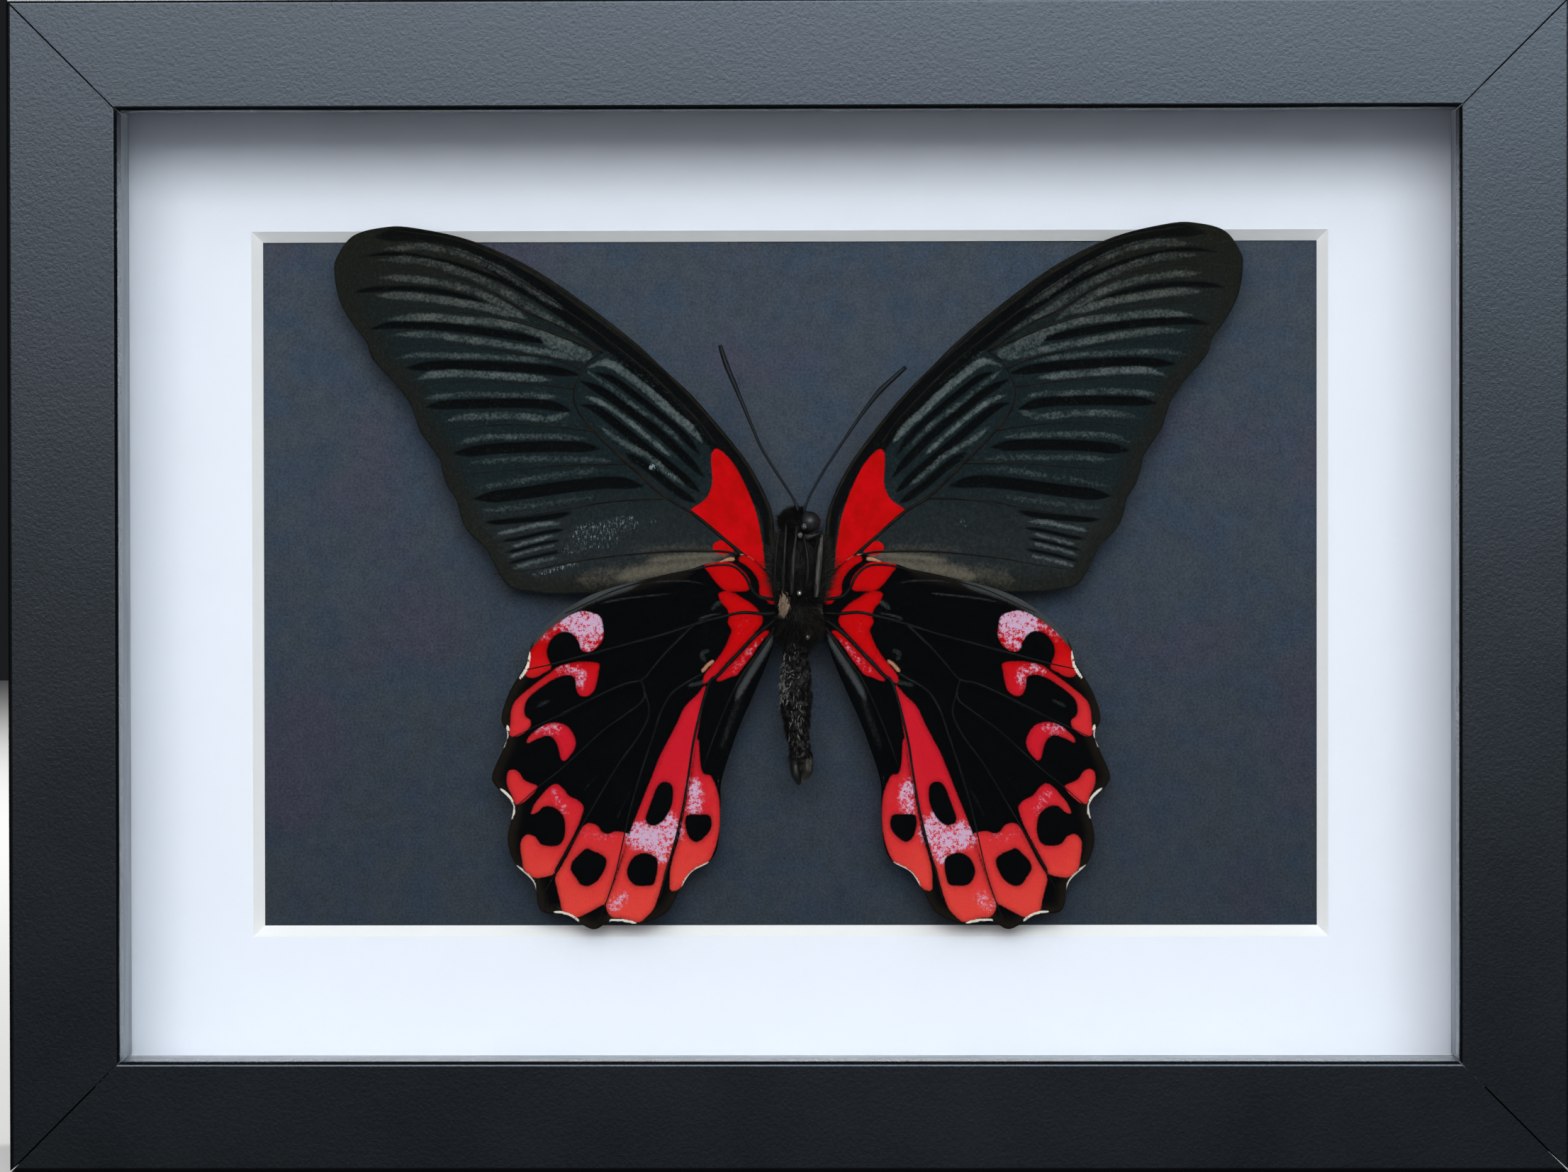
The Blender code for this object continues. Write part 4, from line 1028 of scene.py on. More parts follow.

# Cream streaks at the roots of the veins: painted highlights, where the raised roots catch the light.
HINDWING_ROOT_HIGHLIGHTS = [
    (0.9, 0.26, [(8.6, 3.4), (9.6, 3.3), (10.8, 3.1)]),
    (0.9, 0.24, [(7.4, 3.9), (8.2, 4.3), (9.0, 4.5)]),
    (0.5, 0.18, [(6.0, 3.2), (7.0, 3.9)]),
    (0.9, 0.22, [(11.4, -10.0), (12.2, -10.6), (13.1, -11.6)]),
]

# Veins: radius at the base and at the margin, and places.
HINDWING_VEINS = [
    (0.26, 0.08, [
        (3.2, -3.8), (5.0, -3.9), (7.6, -3.7), (10.0, -4.2), (14.0, -5.3), (18.5, -6.7), (26.5, -8.8),
        (32.5, -10.4), (36.1, -11.2),
    ]),
    (0.24, 0.08, [
        (3.4, -2.0), (5.5, -1.6), (6.6, -0.4), (7.3, 1.0), (9.0, 2.4), (12.0, 2.4), (17.0, 1.2),
        (24.0, -0.6), (31.0, -3.8),
    ]),
    (0.28, 0.08, [
        (3.3, -4.7), (6.0, -6.8), (8.5, -9.4), (10.8, -11.9), (12.2, -13.3), (14.0, -20.0), (14.8, -25.0),
        (15.7, -30.0), (16.8, -34.5), (17.8, -38.0), (18.6, -41.5),
    ]),
    (0.20, 0.06, [
        (14.0, -5.3), (17.5, -8.7), (19.5, -11.0), (21.0, -12.6), (23.5, -13.2), (29.5, -16.0),
        (33.5, -18.0), (38.4, -20.3),
    ]),
    (0.16, 0.06, [
        (21.0, -12.6), (20.6, -14.2), (21.0, -15.5), (23.5, -17.4), (26.5, -19.6), (31.5, -24.2),
        (34.5, -26.6), (37.6, -29.3),
    ]),
    (0.16, 0.06, [
        (20.6, -14.2), (20.0, -17.0), (21.5, -20.2), (24.0, -23.6), (28.3, -30.8), (31.0, -35.4),
        (33.6, -40.2),
    ]),
    (0.18, 0.06, [
        (13.0, -11.8), (16.6, -14.0), (18.3, -16.5), (19.5, -20.0), (21.0, -24.5), (22.6, -30.0),
        (24.3, -37.5), (25.6, -41.6), (26.6, -44.2),
    ]),
    (0.22, 0.08, [(3.3, -5.6), (5.2, -8.6), (7.6, -11.8), (9.6, -15.6), (11.4, -20.0), (12.8, -24.0)]),
]

# The strip beside the body that curls.
HINDWING_CURL = [
    (2.0, -9.0), (3.6, -10.2), (5.0, -13.4), (6.6, -17.0), (8.0, -21.0), (8.8, -25.0), (6.0, -25.0),
    (2.0, -16.0),
]

VELVET = (0.0008, 0.0010, 0.0013, 1)
VELVET_DUST = (0.042, 0.050, 0.052, 1)
EDGE_BROWN = (0.0080, 0.0058, 0.0042, 1)
MARK_SCARLET = (0.475, 0.0085, 0.0190, 1)
MARK_WARM = (0.600, 0.0480, 0.0360, 1)
BASE_SCARLET = (0.440, 0.0014, 0.0024, 1)
ROOT_HIGHLIGHT_CREAM = (0.40, 0.19, 0.115, 1)
LILAC = (0.50, 0.33, 0.47, 1)
VEIN_SLATE = (0.0100, 0.0100, 0.0105, 1)
CRESCENT = (0.62, 0.56, 0.50, 1)
FOLD_GREY = (0.041, 0.044, 0.047, 1)


def hindwing_finish():
    finish = Finish("hindwing_scales", Specular_IOR_Level=0.02)
    place = finish.place()
    grains = scale_rows(finish, place)
    specks = finish.noise(place, 3600, 3.0, 0.75)
    mottle = finish.noise(place, 2300, 3.0, 0.75)
    drifts = finish.noise(place, 380, 3.0, 0.6)
    up = finish.node("ShaderNodeSeparateXYZ", None, [place], "Z") / MM
    red, lilac, dust = finish.attribute("red"), finish.attribute("lilac"), finish.attribute("dust")
    grey, tan, white = finish.attribute("grey"), finish.attribute("tan"), finish.attribute("white")
    margin = finish.attribute("margin")
    field = finish.mix(finish.step(margin + drifts * 0.6, 2.1, 0.6), VELVET, EDGE_BROWN)
    field = finish.tint(1.0, field, finish.grey(0.55 + specks * 0.9))
    field = finish.mix(finish.step(grey + (specks - 0.5) * 0.9, 0.15, 0.95), field, FOLD_GREY)
    powder = finish.step(dust + (specks - 0.5) * 0.7 + (drifts - 0.5) * 0.5, 0.25, 1.0)
    field = finish.mix(powder, field, VELVET_DUST)
    low = finish.step(up + (drifts - 0.5) * 6, 52.0, 33.0)
    rim = finish.step(margin + (drifts - 0.5) * 3, 6.0, 2.0)
    mark = finish.mix(low * 0.60 + rim * 0.28, MARK_SCARLET, MARK_WARM)
    mark = finish.mix(finish.step(up, 58.0, 68.0), mark, BASE_SCARLET)
    rubbed = finish.step(red + (mottle - 0.5) * 0.8, -0.05, 0.75)
    mark = finish.tint(1.0, mark, finish.grey((0.70 + rubbed * 0.32) * (0.82 + grains * 0.36)))
    mark = finish.mix(finish.step(lilac * (1 + (mottle - 0.5) * 6.5), 0.22, 0.95), mark, LILAC)
    colour = finish.mix(finish.step(red + (specks - 0.5) * 0.28, -0.12, 0.12), field, mark)
    # Cream at the raised vein roots: a painted highlight.
    colour = finish.mix(finish.step(tan + (specks - 0.5) * 0.7, 0.15, 0.9), colour, ROOT_HIGHLIGHT_CREAM)
    colour = finish.mix(finish.step(white + (specks - 0.5) * 0.5, 0.25, 0.65), colour, CRESCENT)
    return finish.surface(colour, 0.78 + specks * 0.15, grains, (0.5, 0.00006))


def hindwing_relief(flat):
    """Shallow valleys between the veins, and the inner edge curling back towards the body."""
    ridges = strokes(flat, [(1.0, 0.5, path) for start, end, path in HINDWING_VEINS], soft=0.9, taper=0)
    inner = smooth_step(-depth_inside(flat, HINDWING_CURL, 3.0), 0.0, 3.0)
    return VALLEY_DEPTH * (1 - ridges) - INNER_CURL * (1 - inner)


flat_hindwing = membrane("flat_hindwing", HINDWING_EDGE)
flat = places_of(flat_hindwing.data)[:, [0, 2]]
spots = in_any(flat, HINDWING_SPOTS)
number_on(flat_hindwing.data, "red", np.minimum(in_any(flat, HINDWING_RED), -spots))
number_on(flat_hindwing.data, "lilac", strokes(flat, HINDWING_LILAC, soft=1.3, taper=0))
number_on(flat_hindwing.data, "dust", strokes(flat, HINDWING_DUST))
number_on(flat_hindwing.data, "grey", strokes(flat, HINDWING_GREY, soft=0.5))
# The tan attribute here holds the painted highlights at the vein roots.
number_on(flat_hindwing.data, "tan", strokes(flat, HINDWING_ROOT_HIGHLIGHTS, soft=0.2))
number_on(flat_hindwing.data, "white", strokes(flat, HINDWING_LUNULES, soft=0.12))
inner_side = 4 * smooth_step(flat[:, 0], 16, 10)
number_on(flat_hindwing.data, "margin", depth_inside(flat, HINDWING_EDGE, MARGIN_REACH) + inner_side)
move_to(flat_hindwing.data, np.insert(flat, 1, hindwing_relief(flat), axis=1))
hindwing_veins = vein_tubes("hindwing_veins", HINDWING_VEINS, lambda line: hindwing_relief(line) - VEIN_PROUD)
flat_hindwing.data.materials.append(hindwing_finish())
hindwing_veins.data.materials.append(vein_finish("hindwing_vein", VEIN_SLATE))
apply_modifier(flat_hindwing, "SOLIDIFY", thickness=WING_THICK / MM, offset=0)
for side in ("right", "left"):
    hindwing = place_wing("hindwing_" + side, flat_hindwing, hindwing_veins, HINDWING_AT, side)
bpy.data.objects.remove(flat_hindwing)
bpy.data.objects.remove(hindwing_veins)


# ---------------------------------------------------------------------------
# Thorax: a hard keg between the wings, its underside up, black with greenish-grey down at the sides where the
# wings are rooted and a rusty patch behind. The pin passes through it.

THORAX_CENTRE = (0.0015, -0.0017, 0.0770)
THORAX_HALF = (0.0031, 0.0029, 0.0059)
WAIST_CENTRE = (0.0013, -0.0020, 0.0706)
WAIST_HALF = (0.0026, 0.0022, 0.0033)
BODY_BLACK = (0.0018, 0.0018, 0.0016, 1)
BODY_GREY = (0.006, 0.006, 0.0055, 1)
DOWN_DARK = (0.0026, 0.0028, 0.0024, 1)
DOWN_GREY = (0.070, 0.080, 0.068, 1)
DOWN_RUST = (0.052, 0.030, 0.023, 1)
DOWN_TAN = (0.46, 0.33, 0.25, 1)

random = np.random.default_rng(27)


def body_finish(name, dark, light, patch_scale, gloss=0.07, bump=0.00008):
    """Chitin in patches of two colours, with a fine roughness."""
    finish = Finish(name, Specular_IOR_Level=gloss)
    place = finish.place()
    patches = finish.noise(place, patch_scale, 3.0, 0.6, 0.6)
    grains = finish.noise(place, 5 * patch_scale, 2.0, 0.6)
    colour = finish.mix(finish.step(patches + (grains - 0.5) * 0.3, 0.46, 0.72), dark, light)
    return finish.surface(colour, 0.34 + patches * 0.25, patches * 0.7 + grains * 0.3, (0.6, bump))


def down_finish(name, dark, light):
    """Hairs that run from a dark tone to a light one, each with its own."""
    finish = Finish(name, Specular_IOR_Level=0.05)
    tone = finish.attribute("tone")
    drifts = finish.noise(finish.place(), 900, 2.0, 0.6)
    colour = finish.mix(finish.step(tone + (drifts - 0.5) * 0.4, 0.0, 1.0), dark, light)
    return finish.surface(colour, 0.42 + drifts * 0.25, drifts, (0.2, 0.00003))


def lump(name, centre, half, rough, grain, segments=56, rings=40, squeeze=None):
    """A rounded body part: a sphere drawn out to its half sizes, squeezed where told, and roughened."""
    bpy.ops.object.select_all(action="DESELECT")
    bpy.ops.mesh.primitive_uv_sphere_add(segments=segments, ring_count=rings, radius=1)
    piece = bpy.context.object
    piece.name = name
    points = places_of(piece.data)
    if squeeze:
        points = squeeze(points)
    move_to(piece.data, points * half + centre)
    clouds = bpy.data.textures.new(name, "CLOUDS")
    clouds.noise_scale = grain
    clouds.noise_depth = 2
    apply_modifier(piece, "DISPLACE", texture=clouds, strength=rough, mid_level=0.5, texture_coords="LOCAL")
    bpy.ops.object.shade_smooth()
    return piece


def hair_shape():
    """One hair: a slim three-sided cone, one long from root to tip, cut once across so that it can bend."""
    bpy.ops.object.select_all(action="DESELECT")
    bpy.ops.mesh.primitive_cone_add(vertices=3, radius1=1, radius2=0, depth=1, location=(0, 0, 0.5))
    hair = bpy.context.object
    bpy.ops.object.transform_apply(location=True)
    edit_mesh(
        lambda: bpy.ops.mesh.select_all(action="SELECT"),
        lambda: bpy.ops.mesh.bisect(plane_co=(0, 0, 0.45), plane_no=(0, 0, 1)),
    )
    points = places_of(hair.data)
    faces = [list(face.vertices) for face in hair.data.polygons]
    bpy.data.objects.remove(hair)
    return points, faces


HAIR_POINTS, HAIR_FACES = hair_shape()
HAIR_SUNK = 0.00003


def unit(vectors):
    return vectors / np.linalg.norm(vectors, axis=-1, keepdims=True)


def down(name, roots, along, lengths, widths, tones, droop=(0, 0, 0)):
    """Many copies of the hair in one mesh, each from its root along its own way, with its own tone."""
    across = unit(np.cross(along, [0.13, 0.97, 0.21]))
    third = np.cross(along, across)
    x, y, z = HAIR_POINTS.T
    spread = x[None, :, None] * across[:, None] + y[None, :, None] * third[:, None]
    points = roots[:, None] + along[:, None] * (z[None, :] * lengths[:, None])[..., None]
    points = points + spread * widths[:, None, None]
    points = points + np.array(droop) * ((z[None, :] ** 2) * lengths[:, None])[..., None]
    starts = np.arange(len(roots)) * len(HAIR_POINTS)
    faces = [[corner + start for corner in face] for start in starts.tolist() for face in HAIR_FACES]
    mesh = bpy.data.meshes.new(name)
    mesh.from_pydata(points.reshape(-1, 3).tolist(), [], faces)
    number_on(mesh, "tone", np.repeat(tones, len(HAIR_POINTS)))
    piece = bpy.data.objects.new(name, mesh)
    bpy.context.scene.collection.objects.link(piece)
    return piece


def roots_on(piece, count, keep):
    """Random places on a body part's own surface, with the outward direction at each. keep chooses among
    places that are counted from the part's middle in half sizes."""
    faces = piece.data.polygons
    centres, normals, areas = np.empty(len(faces) * 3), np.empty(len(faces) * 3), np.empty(len(faces))
    faces.foreach_get("center", centres)
    faces.foreach_get("normal", normals)
    faces.foreach_get("area", areas)
    centres, normals = centres.reshape(-1, 3), normals.reshape(-1, 3)
    # The faces of a new sphere come in no fixed order, so they are put in order of their places.
    order = np.lexsort(centres.T)
    centres, normals, areas = centres[order], normals[order], areas[order]
    low, high = centres.min(0), centres.max(0)
    areas[~keep((2 * centres - low - high) / (high - low))] = 0
    chosen = random.choice(len(faces), count, p=areas / areas.sum())
    jitter = random.normal(scale=0.3 * np.sqrt(areas[chosen])[:, None], size=(count, 3))
    return centres[chosen] + jitter - normals[chosen] * HAIR_SUNK, normals[chosen]


def settle(piece, slot, *replaced):
    for node in replaced:
        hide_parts(node)
    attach(piece, "root")


def keg(ball):
    """Shoulders ahead of a narrower hind end, with a groove down the middle of the underside."""
    x, y, z = ball.T
    width = 1 + 0.10 * np.cos(2.4 * (z - 0.25))
    groove = 0.16 * np.exp(-((x / 0.22) ** 2)) * (y < 0)
    return np.stack([x * width, y * (1 - groove), z], 1)


thorax = lump("thorax", THORAX_CENTRE, THORAX_HALF, 0.0007, 0.0012, squeeze=keg)
thorax.data.materials.append(body_finish("thorax_chitin", BODY_BLACK, BODY_GREY, 900))
settle(thorax, "insect_body", "thorax")

# The hind thorax narrows into a waist in front of the abdomen, hidden in down.
waist = lump("waist", WAIST_CENTRE, WAIST_HALF, 0.0008, 0.0010, 48, 36)
waist.data.materials.append(thorax.data.materials[0])
settle(waist, "insect_body")

side_down = down_finish("side_down", DOWN_DARK, DOWN_GREY)
rusty_down = down_finish("rusty_down", DOWN_DARK, DOWN_RUST)


def body_down(part, name, count, keep, lengths, tones, material, lay, droop):
    """Hairs on a body part that lie along it, lifted by their own amount."""
    roots, normals = roots_on(part, count, keep)
    along = unit(normals * 0.55 + np.array(lay) + random.normal(scale=0.28, size=normals.shape))
    sizes = random.uniform(*lengths, len(roots))
    widths = random.uniform(0.000022, 0.000045, len(roots))
    piece = down(name, roots, along, sizes, widths, tones(len(roots)), droop)
    piece.data.materials.append(material)
    settle(piece, "insect_body")
    return piece


# Each coat: its body part, name and number of hairs, where it grows, the shortest and longest hair, their
# tones, its finish, the way it lies, and how it droops.
body_down(
    thorax, "thorax_side_down", 3600, lambda ball: (np.abs(ball[:, 0]) > 0.55) & (ball[:, 1] < 0.5),
    (0.0009, 0.0026), lambda count: random.beta(0.9, 3.4, count), side_down, (0, 0.1, 0.55), (0, 0.2, 0),
)
body_down(
    thorax, "thorax_under_down", 1700, lambda ball: (ball[:, 1] < -0.1) & (np.abs(ball[:, 0]) < 0.75),
    (0.0005, 0.0014), lambda count: random.beta(0.8, 8.0, count), side_down, (0, 0.0, -0.9), (0, 0.1, 0),
)
body_down(
    waist, "waist_down", 2600, lambda ball: ball[:, 1] < 0.4, (0.0006, 0.0019),
    lambda count: random.beta(0.7, 5.0, count), side_down, (0, -0.1, -0.8), (0, 0.15, 0),
)
body_down(
    waist, "rusty_down", 520, lambda ball: (ball[:, 1] < 0.2) & (ball[:, 0] > 0.25) & (ball[:, 2] > -0.5),
    (0.0006, 0.0016), lambda count: random.beta(1.2, 1.6, count), rusty_down, (0.25, -0.1, -0.6), (0, 0.1, 0),
)
body_down(
    thorax, "wing_root_down", 420, lambda ball: (np.abs(ball[:, 0]) > 0.7) & (ball[:, 1] < 0.2),
    (0.0012, 0.0030), lambda count: random.beta(2.0, 1.6, count), side_down, (0, 0.0, 0.5), (0, 0.1, 0),
)

# The worn tan tuft beside the pin, where the hairs stand in a tight bunch.
TUFT_FROM = (-0.00062, -0.0042, 0.0729)
TUFT_COUNT = 560
tuft_roots = np.array(TUFT_FROM) + random.normal(size=(TUFT_COUNT, 3)) * (0.00027, 0.0002, 0.00058)
tuft_along = unit(np.array((-0.05, -0.35, -0.9)) + random.normal(scale=0.22, size=(TUFT_COUNT, 3)))
tuft = down(
    "tan_tuft", tuft_roots, tuft_along, random.uniform(0.0004, 0.0010, TUFT_COUNT),
    random.uniform(0.00003, 0.00006, TUFT_COUNT), random.beta(1.5, 1.2, TUFT_COUNT),
)
tuft.data.materials.append(down_finish("tan_down", DOWN_RUST, DOWN_TAN))
settle(tuft, "insect_body")


# ---------------------------------------------------------------------------
# Head: small and turned to the viewer's right, with one round glossy eye in front, the other behind a brown
# tuft, and two scaly palps under it.

EYES = {"right": (0.00275, -0.0033, 0.0837), "left": (0.0003, -0.0010, 0.0838)}
EYE_SIZE = (0.00142, 0.00120, 0.00140)
EYE_BLACK = (0.0030, 0.0036, 0.0050, 1)
EYE_GREY = (0.0060, 0.0062, 0.0078, 1)
PALP_PALE = (0.036, 0.034, 0.031, 1)
PALP_RADII = (0.30, 0.42, 0.36, 0.16)
DOWN_BROWN = (0.034, 0.031, 0.024, 1)
PALPS = {
    "palp_right": [(1.6, -3.0, 81.3), (2.4, -3.9, 81.7), (3.2, -4.1, 81.9), (4.0, -3.7, 82.2)],
    "palp_left": [(1.3, -3.0, 81.4), (1.0, -3.2, 82.4), (1.1, -3.4, 83.4), (1.5, -3.2, 84.4)],
}

head = lump("head", (0.0013, -0.0021, 0.0837), (0.0024, 0.0017, 0.0015), 0.0005, 0.0008, 48, 32)
head.data.materials.append(thorax.data.materials[0])
settle(head, "insect_body", "head")


def eye_finish():
    finish = Finish("compound_eye", Specular_IOR_Level=0.32)
    place = finish.place()
    facets = finish.cells(place, 14000)
    clouds = finish.noise(place, 700, 2.0)
    colour = finish.mix(clouds, EYE_BLACK, EYE_GREY)
    return finish.surface(colour, 0.36 + facets * 0.2, facets, (0.25, 0.00001))


compound_eye = eye_finish()
for side, centre in EYES.items():
    eye = lump("eye_" + side, centre, EYE_SIZE, 0.00002, 0.0006, 40, 28)
    eye.data.materials.append(compound_eye)
    settle(eye, "insect_body")

palp_scales = body_finish("palp_scales", BODY_BLACK, PALP_PALE, 2600, 0.3, 0.00006)
for name, path in PALPS.items():
    palp = tube(name, np.array(path) * MM, np.array(PALP_RADII) * MM, sides=4)
    palp.data.materials.append(palp_scales)
    settle(palp, "insect_body")

head_roots, head_normals = roots_on(head, 2200, lambda ball: (ball[:, 0] < 0.25) & (ball[:, 1] < 0.6))
head_scatter = random.normal(scale=0.3, size=head_normals.shape)
head_along = unit(head_normals * 0.9 + np.array((-0.15, -0.2, 0.5)) + head_scatter)
head_down = down(
    "head_down", head_roots, head_along, random.uniform(0.0004, 0.0011, len(head_roots)),
    random.uniform(0.000025, 0.00005, len(head_roots)), random.beta(0.9, 4.4, len(head_roots)),
)
head_down.data.materials.append(down_finish("brown_down", DOWN_DARK, DOWN_BROWN))
settle(head_down, "insect_body")


# ---------------------------------------------------------------------------
# Abdomen: a soft tube of seven rings, dried and a little shrunken, grey-brown and black in rough patches.
# Two hard claspers close its end, one dark olive and one tan.

ABDOMEN_CENTRE = (0.0010, -0.0020, 0.0599)
ABDOMEN_HALF = (0.00195, 0.0020, 0.0096)
RINGS = 7
ABDOMEN_BLACK = (0.0014, 0.0014, 0.0013, 1)
ABDOMEN_GREY = (0.042, 0.041, 0.039, 1)
SCALE_BLACK = (0.0020, 0.0020, 0.0018, 1)
SCALE_PALE = (0.190, 0.185, 0.175, 1)
CLASPER_RADII = (0.60, 0.78, 0.70, 0.22)
CLASPER_COLOURS = {
    "clasper_left": ((0.0018, 0.0020, 0.0015, 1), (0.007, 0.008, 0.006, 1)),
    "clasper_right": ((0.010, 0.0085, 0.0065, 1), (0.070, 0.059, 0.046, 1)),
}
CLASPERS = {
    "clasper_left": [(0.7, -1.6, 53.2), (0.8, -2.4, 51.8), (0.95, -2.7, 50.5), (1.3, -2.4, 49.2)],
    "clasper_right": [(1.9, -1.6, 53.4), (2.3, -2.5, 52.2), (2.35, -2.9, 50.9), (1.8, -2.5, 49.5)],
}


def ringed(ball):
    """Widest in front, pinched at each ring, and blunt behind."""
    x, y, z = ball.T
    along = (1 - z) / 2
    pinch = 1 - 0.07 * np.abs(np.sin(np.pi * RINGS * along)) ** 0.5 + 0.05
    blunt = 1 - 0.24 * smooth_step(along, 0.4, 0.75) + 0.42 * smooth_step(along, 0.7, 1.0)
    lean = 0.16 * np.sin(np.pi * along) + 0.30 * smooth_step(along, 0.75, 1.0)
    across = x * pinch * blunt - 0.35 * lean + 0.45 * smooth_step(along, 0.6, 1.0)
    return np.stack([across, y * pinch * blunt, z], 1)


abdomen = lump("abdomen", ABDOMEN_CENTRE, ABDOMEN_HALF, 0.0011, 0.0008, 96, 160, squeeze=ringed)
abdomen_skin = body_finish("abdomen_skin", ABDOMEN_BLACK, ABDOMEN_GREY, 1500, 0.09, 0.00016)
abdomen.data.materials.append(abdomen_skin)
settle(abdomen, "insect_body", "abdomen")

scale_roots, scale_normals = roots_on(abdomen, 3600, lambda ball: ball[:, 1] < 0.6)
scale_scatter = random.normal(scale=0.3, size=scale_normals.shape)
scale_along = unit(scale_normals * 0.35 + np.array((0, 0, -1)) + scale_scatter)
scale_height = scale_roots[:, 2]
# Scales on the abdomen's left-facing side are mostly made pale: a painted highlight.
left_highlight_patch = (scale_normals[:, 0] < -0.45) & (scale_height < 0.0668) & (scale_height > 0.0600)
hind_patch = (np.abs(scale_normals[:, 0]) < 0.5) & (scale_height < 0.0600) & (scale_height > 0.0555)
bright = random.random(len(scale_roots)) < 0.012 + 0.42 * left_highlight_patch + 0.16 * hind_patch
abdomen_scales = down(
    "abdomen_scales", scale_roots, scale_along, random.uniform(0.0003, 0.0009, len(scale_roots)),
    random.uniform(0.00003, 0.00007, len(scale_roots)) + 0.00004 * bright,
    np.where(bright, 1.0, random.beta(0.7, 10.0, len(scale_roots))),
)
abdomen_scales.data.materials.append(down_finish("body_scales", SCALE_BLACK, SCALE_PALE))
settle(abdomen_scales, "insect_body")

for name, path in CLASPERS.items():
    clasper = tube(name, np.array(path) * MM, np.array(CLASPER_RADII) * MM, sides=6)
    clasper.data.materials.append(body_finish(name + "_shell", *CLASPER_COLOURS[name], 900, 0.20))
    settle(clasper, "insect_body")


# ---------------------------------------------------------------------------
# Legs: six, folded flat along the underside, each with a longer thigh and a thinner shin. They are black,
# with pale streaks along them that are painted highlights, for the light their flattened sides catch.

LEG_PATHS = {
    "leg_hind_left": [(-1.5, -2.2, 72.4), (-1.9, -3.4, 75.0), (-1.7, -3.9, 79.0), (-1.3, -3.4, 82.6)],
    "leg_middle_left": [(-0.6, -3.4, 74.0), (-0.7, -4.4, 77.0), (-0.5, -4.6, 80.0), (-0.3, -3.8, 83.6)],
    "leg_fore_left": [(0.4, -4.4, 74.2), (0.5, -5.0, 76.6), (0.7, -5.0, 79.6), (1.0, -4.1, 82.2)],
    "leg_fore_right": [(2.2, -4.4, 74.9), (2.5, -4.9, 77.0), (2.4, -4.9, 79.6), (1.9, -4.2, 82.0)],
    "leg_middle_right": [(3.6, -3.9, 73.9), (3.8, -4.5, 76.6), (4.1, -4.5, 79.6), (4.3, -3.6, 82.0)],
    "leg_hind_right": [(4.3, -2.2, 73.0), (4.8, -3.0, 75.8), (4.9, -3.1, 78.6), (5.0, -2.4, 80.8)],
}
LEG_RADII = {
    "leg_hind_left": (0.26, 0.30, 0.20, 0.10), "leg_middle_left": (0.22, 0.26, 0.20, 0.10),
    "leg_fore_left": (0.22, 0.30, 0.24, 0.14), "leg_fore_right": (0.22, 0.30, 0.26, 0.14),
    "leg_middle_right": (0.30, 0.40, 0.36, 0.20), "leg_hind_right": (0.24, 0.26, 0.18, 0.10),
}
# Tone of each leg's painted highlight streaks; the other legs take the faint one.
LEG_HIGHLIGHT_TONE = {"leg_middle_right": 0.066, "leg_fore_left": 0.020, "leg_middle_left": 0.013}
LEG_FAINT_HIGHLIGHT = 0.004


def leg_finish(name, pale):
    finish = Finish(name, Specular_IOR_Level=0.15)
    place = finish.place()
    streaks = finish.noise(finish.stretched(place, (4200, 4200, 350)), 1.0, 3.0, 0.6)
    # The pale streaks are painted highlights.
    colour = finish.mix(finish.step(streaks, 0.30, 0.62), BODY_BLACK, (pale, 0.97 * pale, 0.88 * pale, 1))
    return finish.surface(colour, 0.38 + streaks * 0.2, streaks, (0.4, 0.00005))


for name, path in LEG_PATHS.items():
    leg = tube(name, np.array(path) * MM, np.array(LEG_RADII[name]) * MM, sides=4, steps=6)
    leg.data.materials.append(leg_finish(name + "_shell", LEG_HIGHLIGHT_TONE.get(name, LEG_FAINT_HIGHLIGHT)))
    settle(leg, "chitin", name)

# Bare joints at the roots of the legs, which shine as small beads.
JOINTS = [(2.0, -4.6, 83.1, 0.36), (1.5, -4.7, 82.0, 0.34), (2.45, -4.2, 68.6, 0.30)]
JOINT_DARK = (0.030, 0.030, 0.029, 1)
JOINT_PALE = (0.11, 0.11, 0.105, 1)
joint_shell = body_finish("joint_shell", JOINT_DARK, JOINT_PALE, 1500, 0.5)
for number, (*centre, size) in enumerate(JOINTS):
    half = np.array((size, size, 1.15 * size)) * MM
    bead = lump(f"leg_joint_{number}", np.array(centre) * MM, half, 0.00006, 0.0004, 24, 16)
    bead.data.materials.append(joint_shell)
    settle(bead, "chitin")


# ---------------------------------------------------------------------------
# Feelers: hair-fine ringed rods from between the eyes that thicken into a slim club.

FEELER_PATHS = {
    "antenna_left": [
        (1.3, 9.4), (0.7, 11.1), (-0.5, 13.0), (-3.4, 17.6), (-4.9, 21.0), (-6.3, 24.4), (-8.1, 28.7),
        (-9.0, 31.4),
    ],
    "antenna_right": [
        (2.0, 9.4), (2.5, 11.1), (4.3, 14.4), (5.7, 16.6), (8.6, 20.9), (10.4, 23.4), (12.1, 25.5),
        (15.4, 28.5),
    ],
}
FEELER_FRONT = -3.2
FEELER_RADII = (0.20, 0.19, 0.19, 0.19, 0.21, 0.27, 0.38, 0.28)
FEELER_BLACK = (0.0030, 0.0045, 0.0068, 1)
FEELER_SLATE = (0.0075, 0.0105, 0.0150, 1)


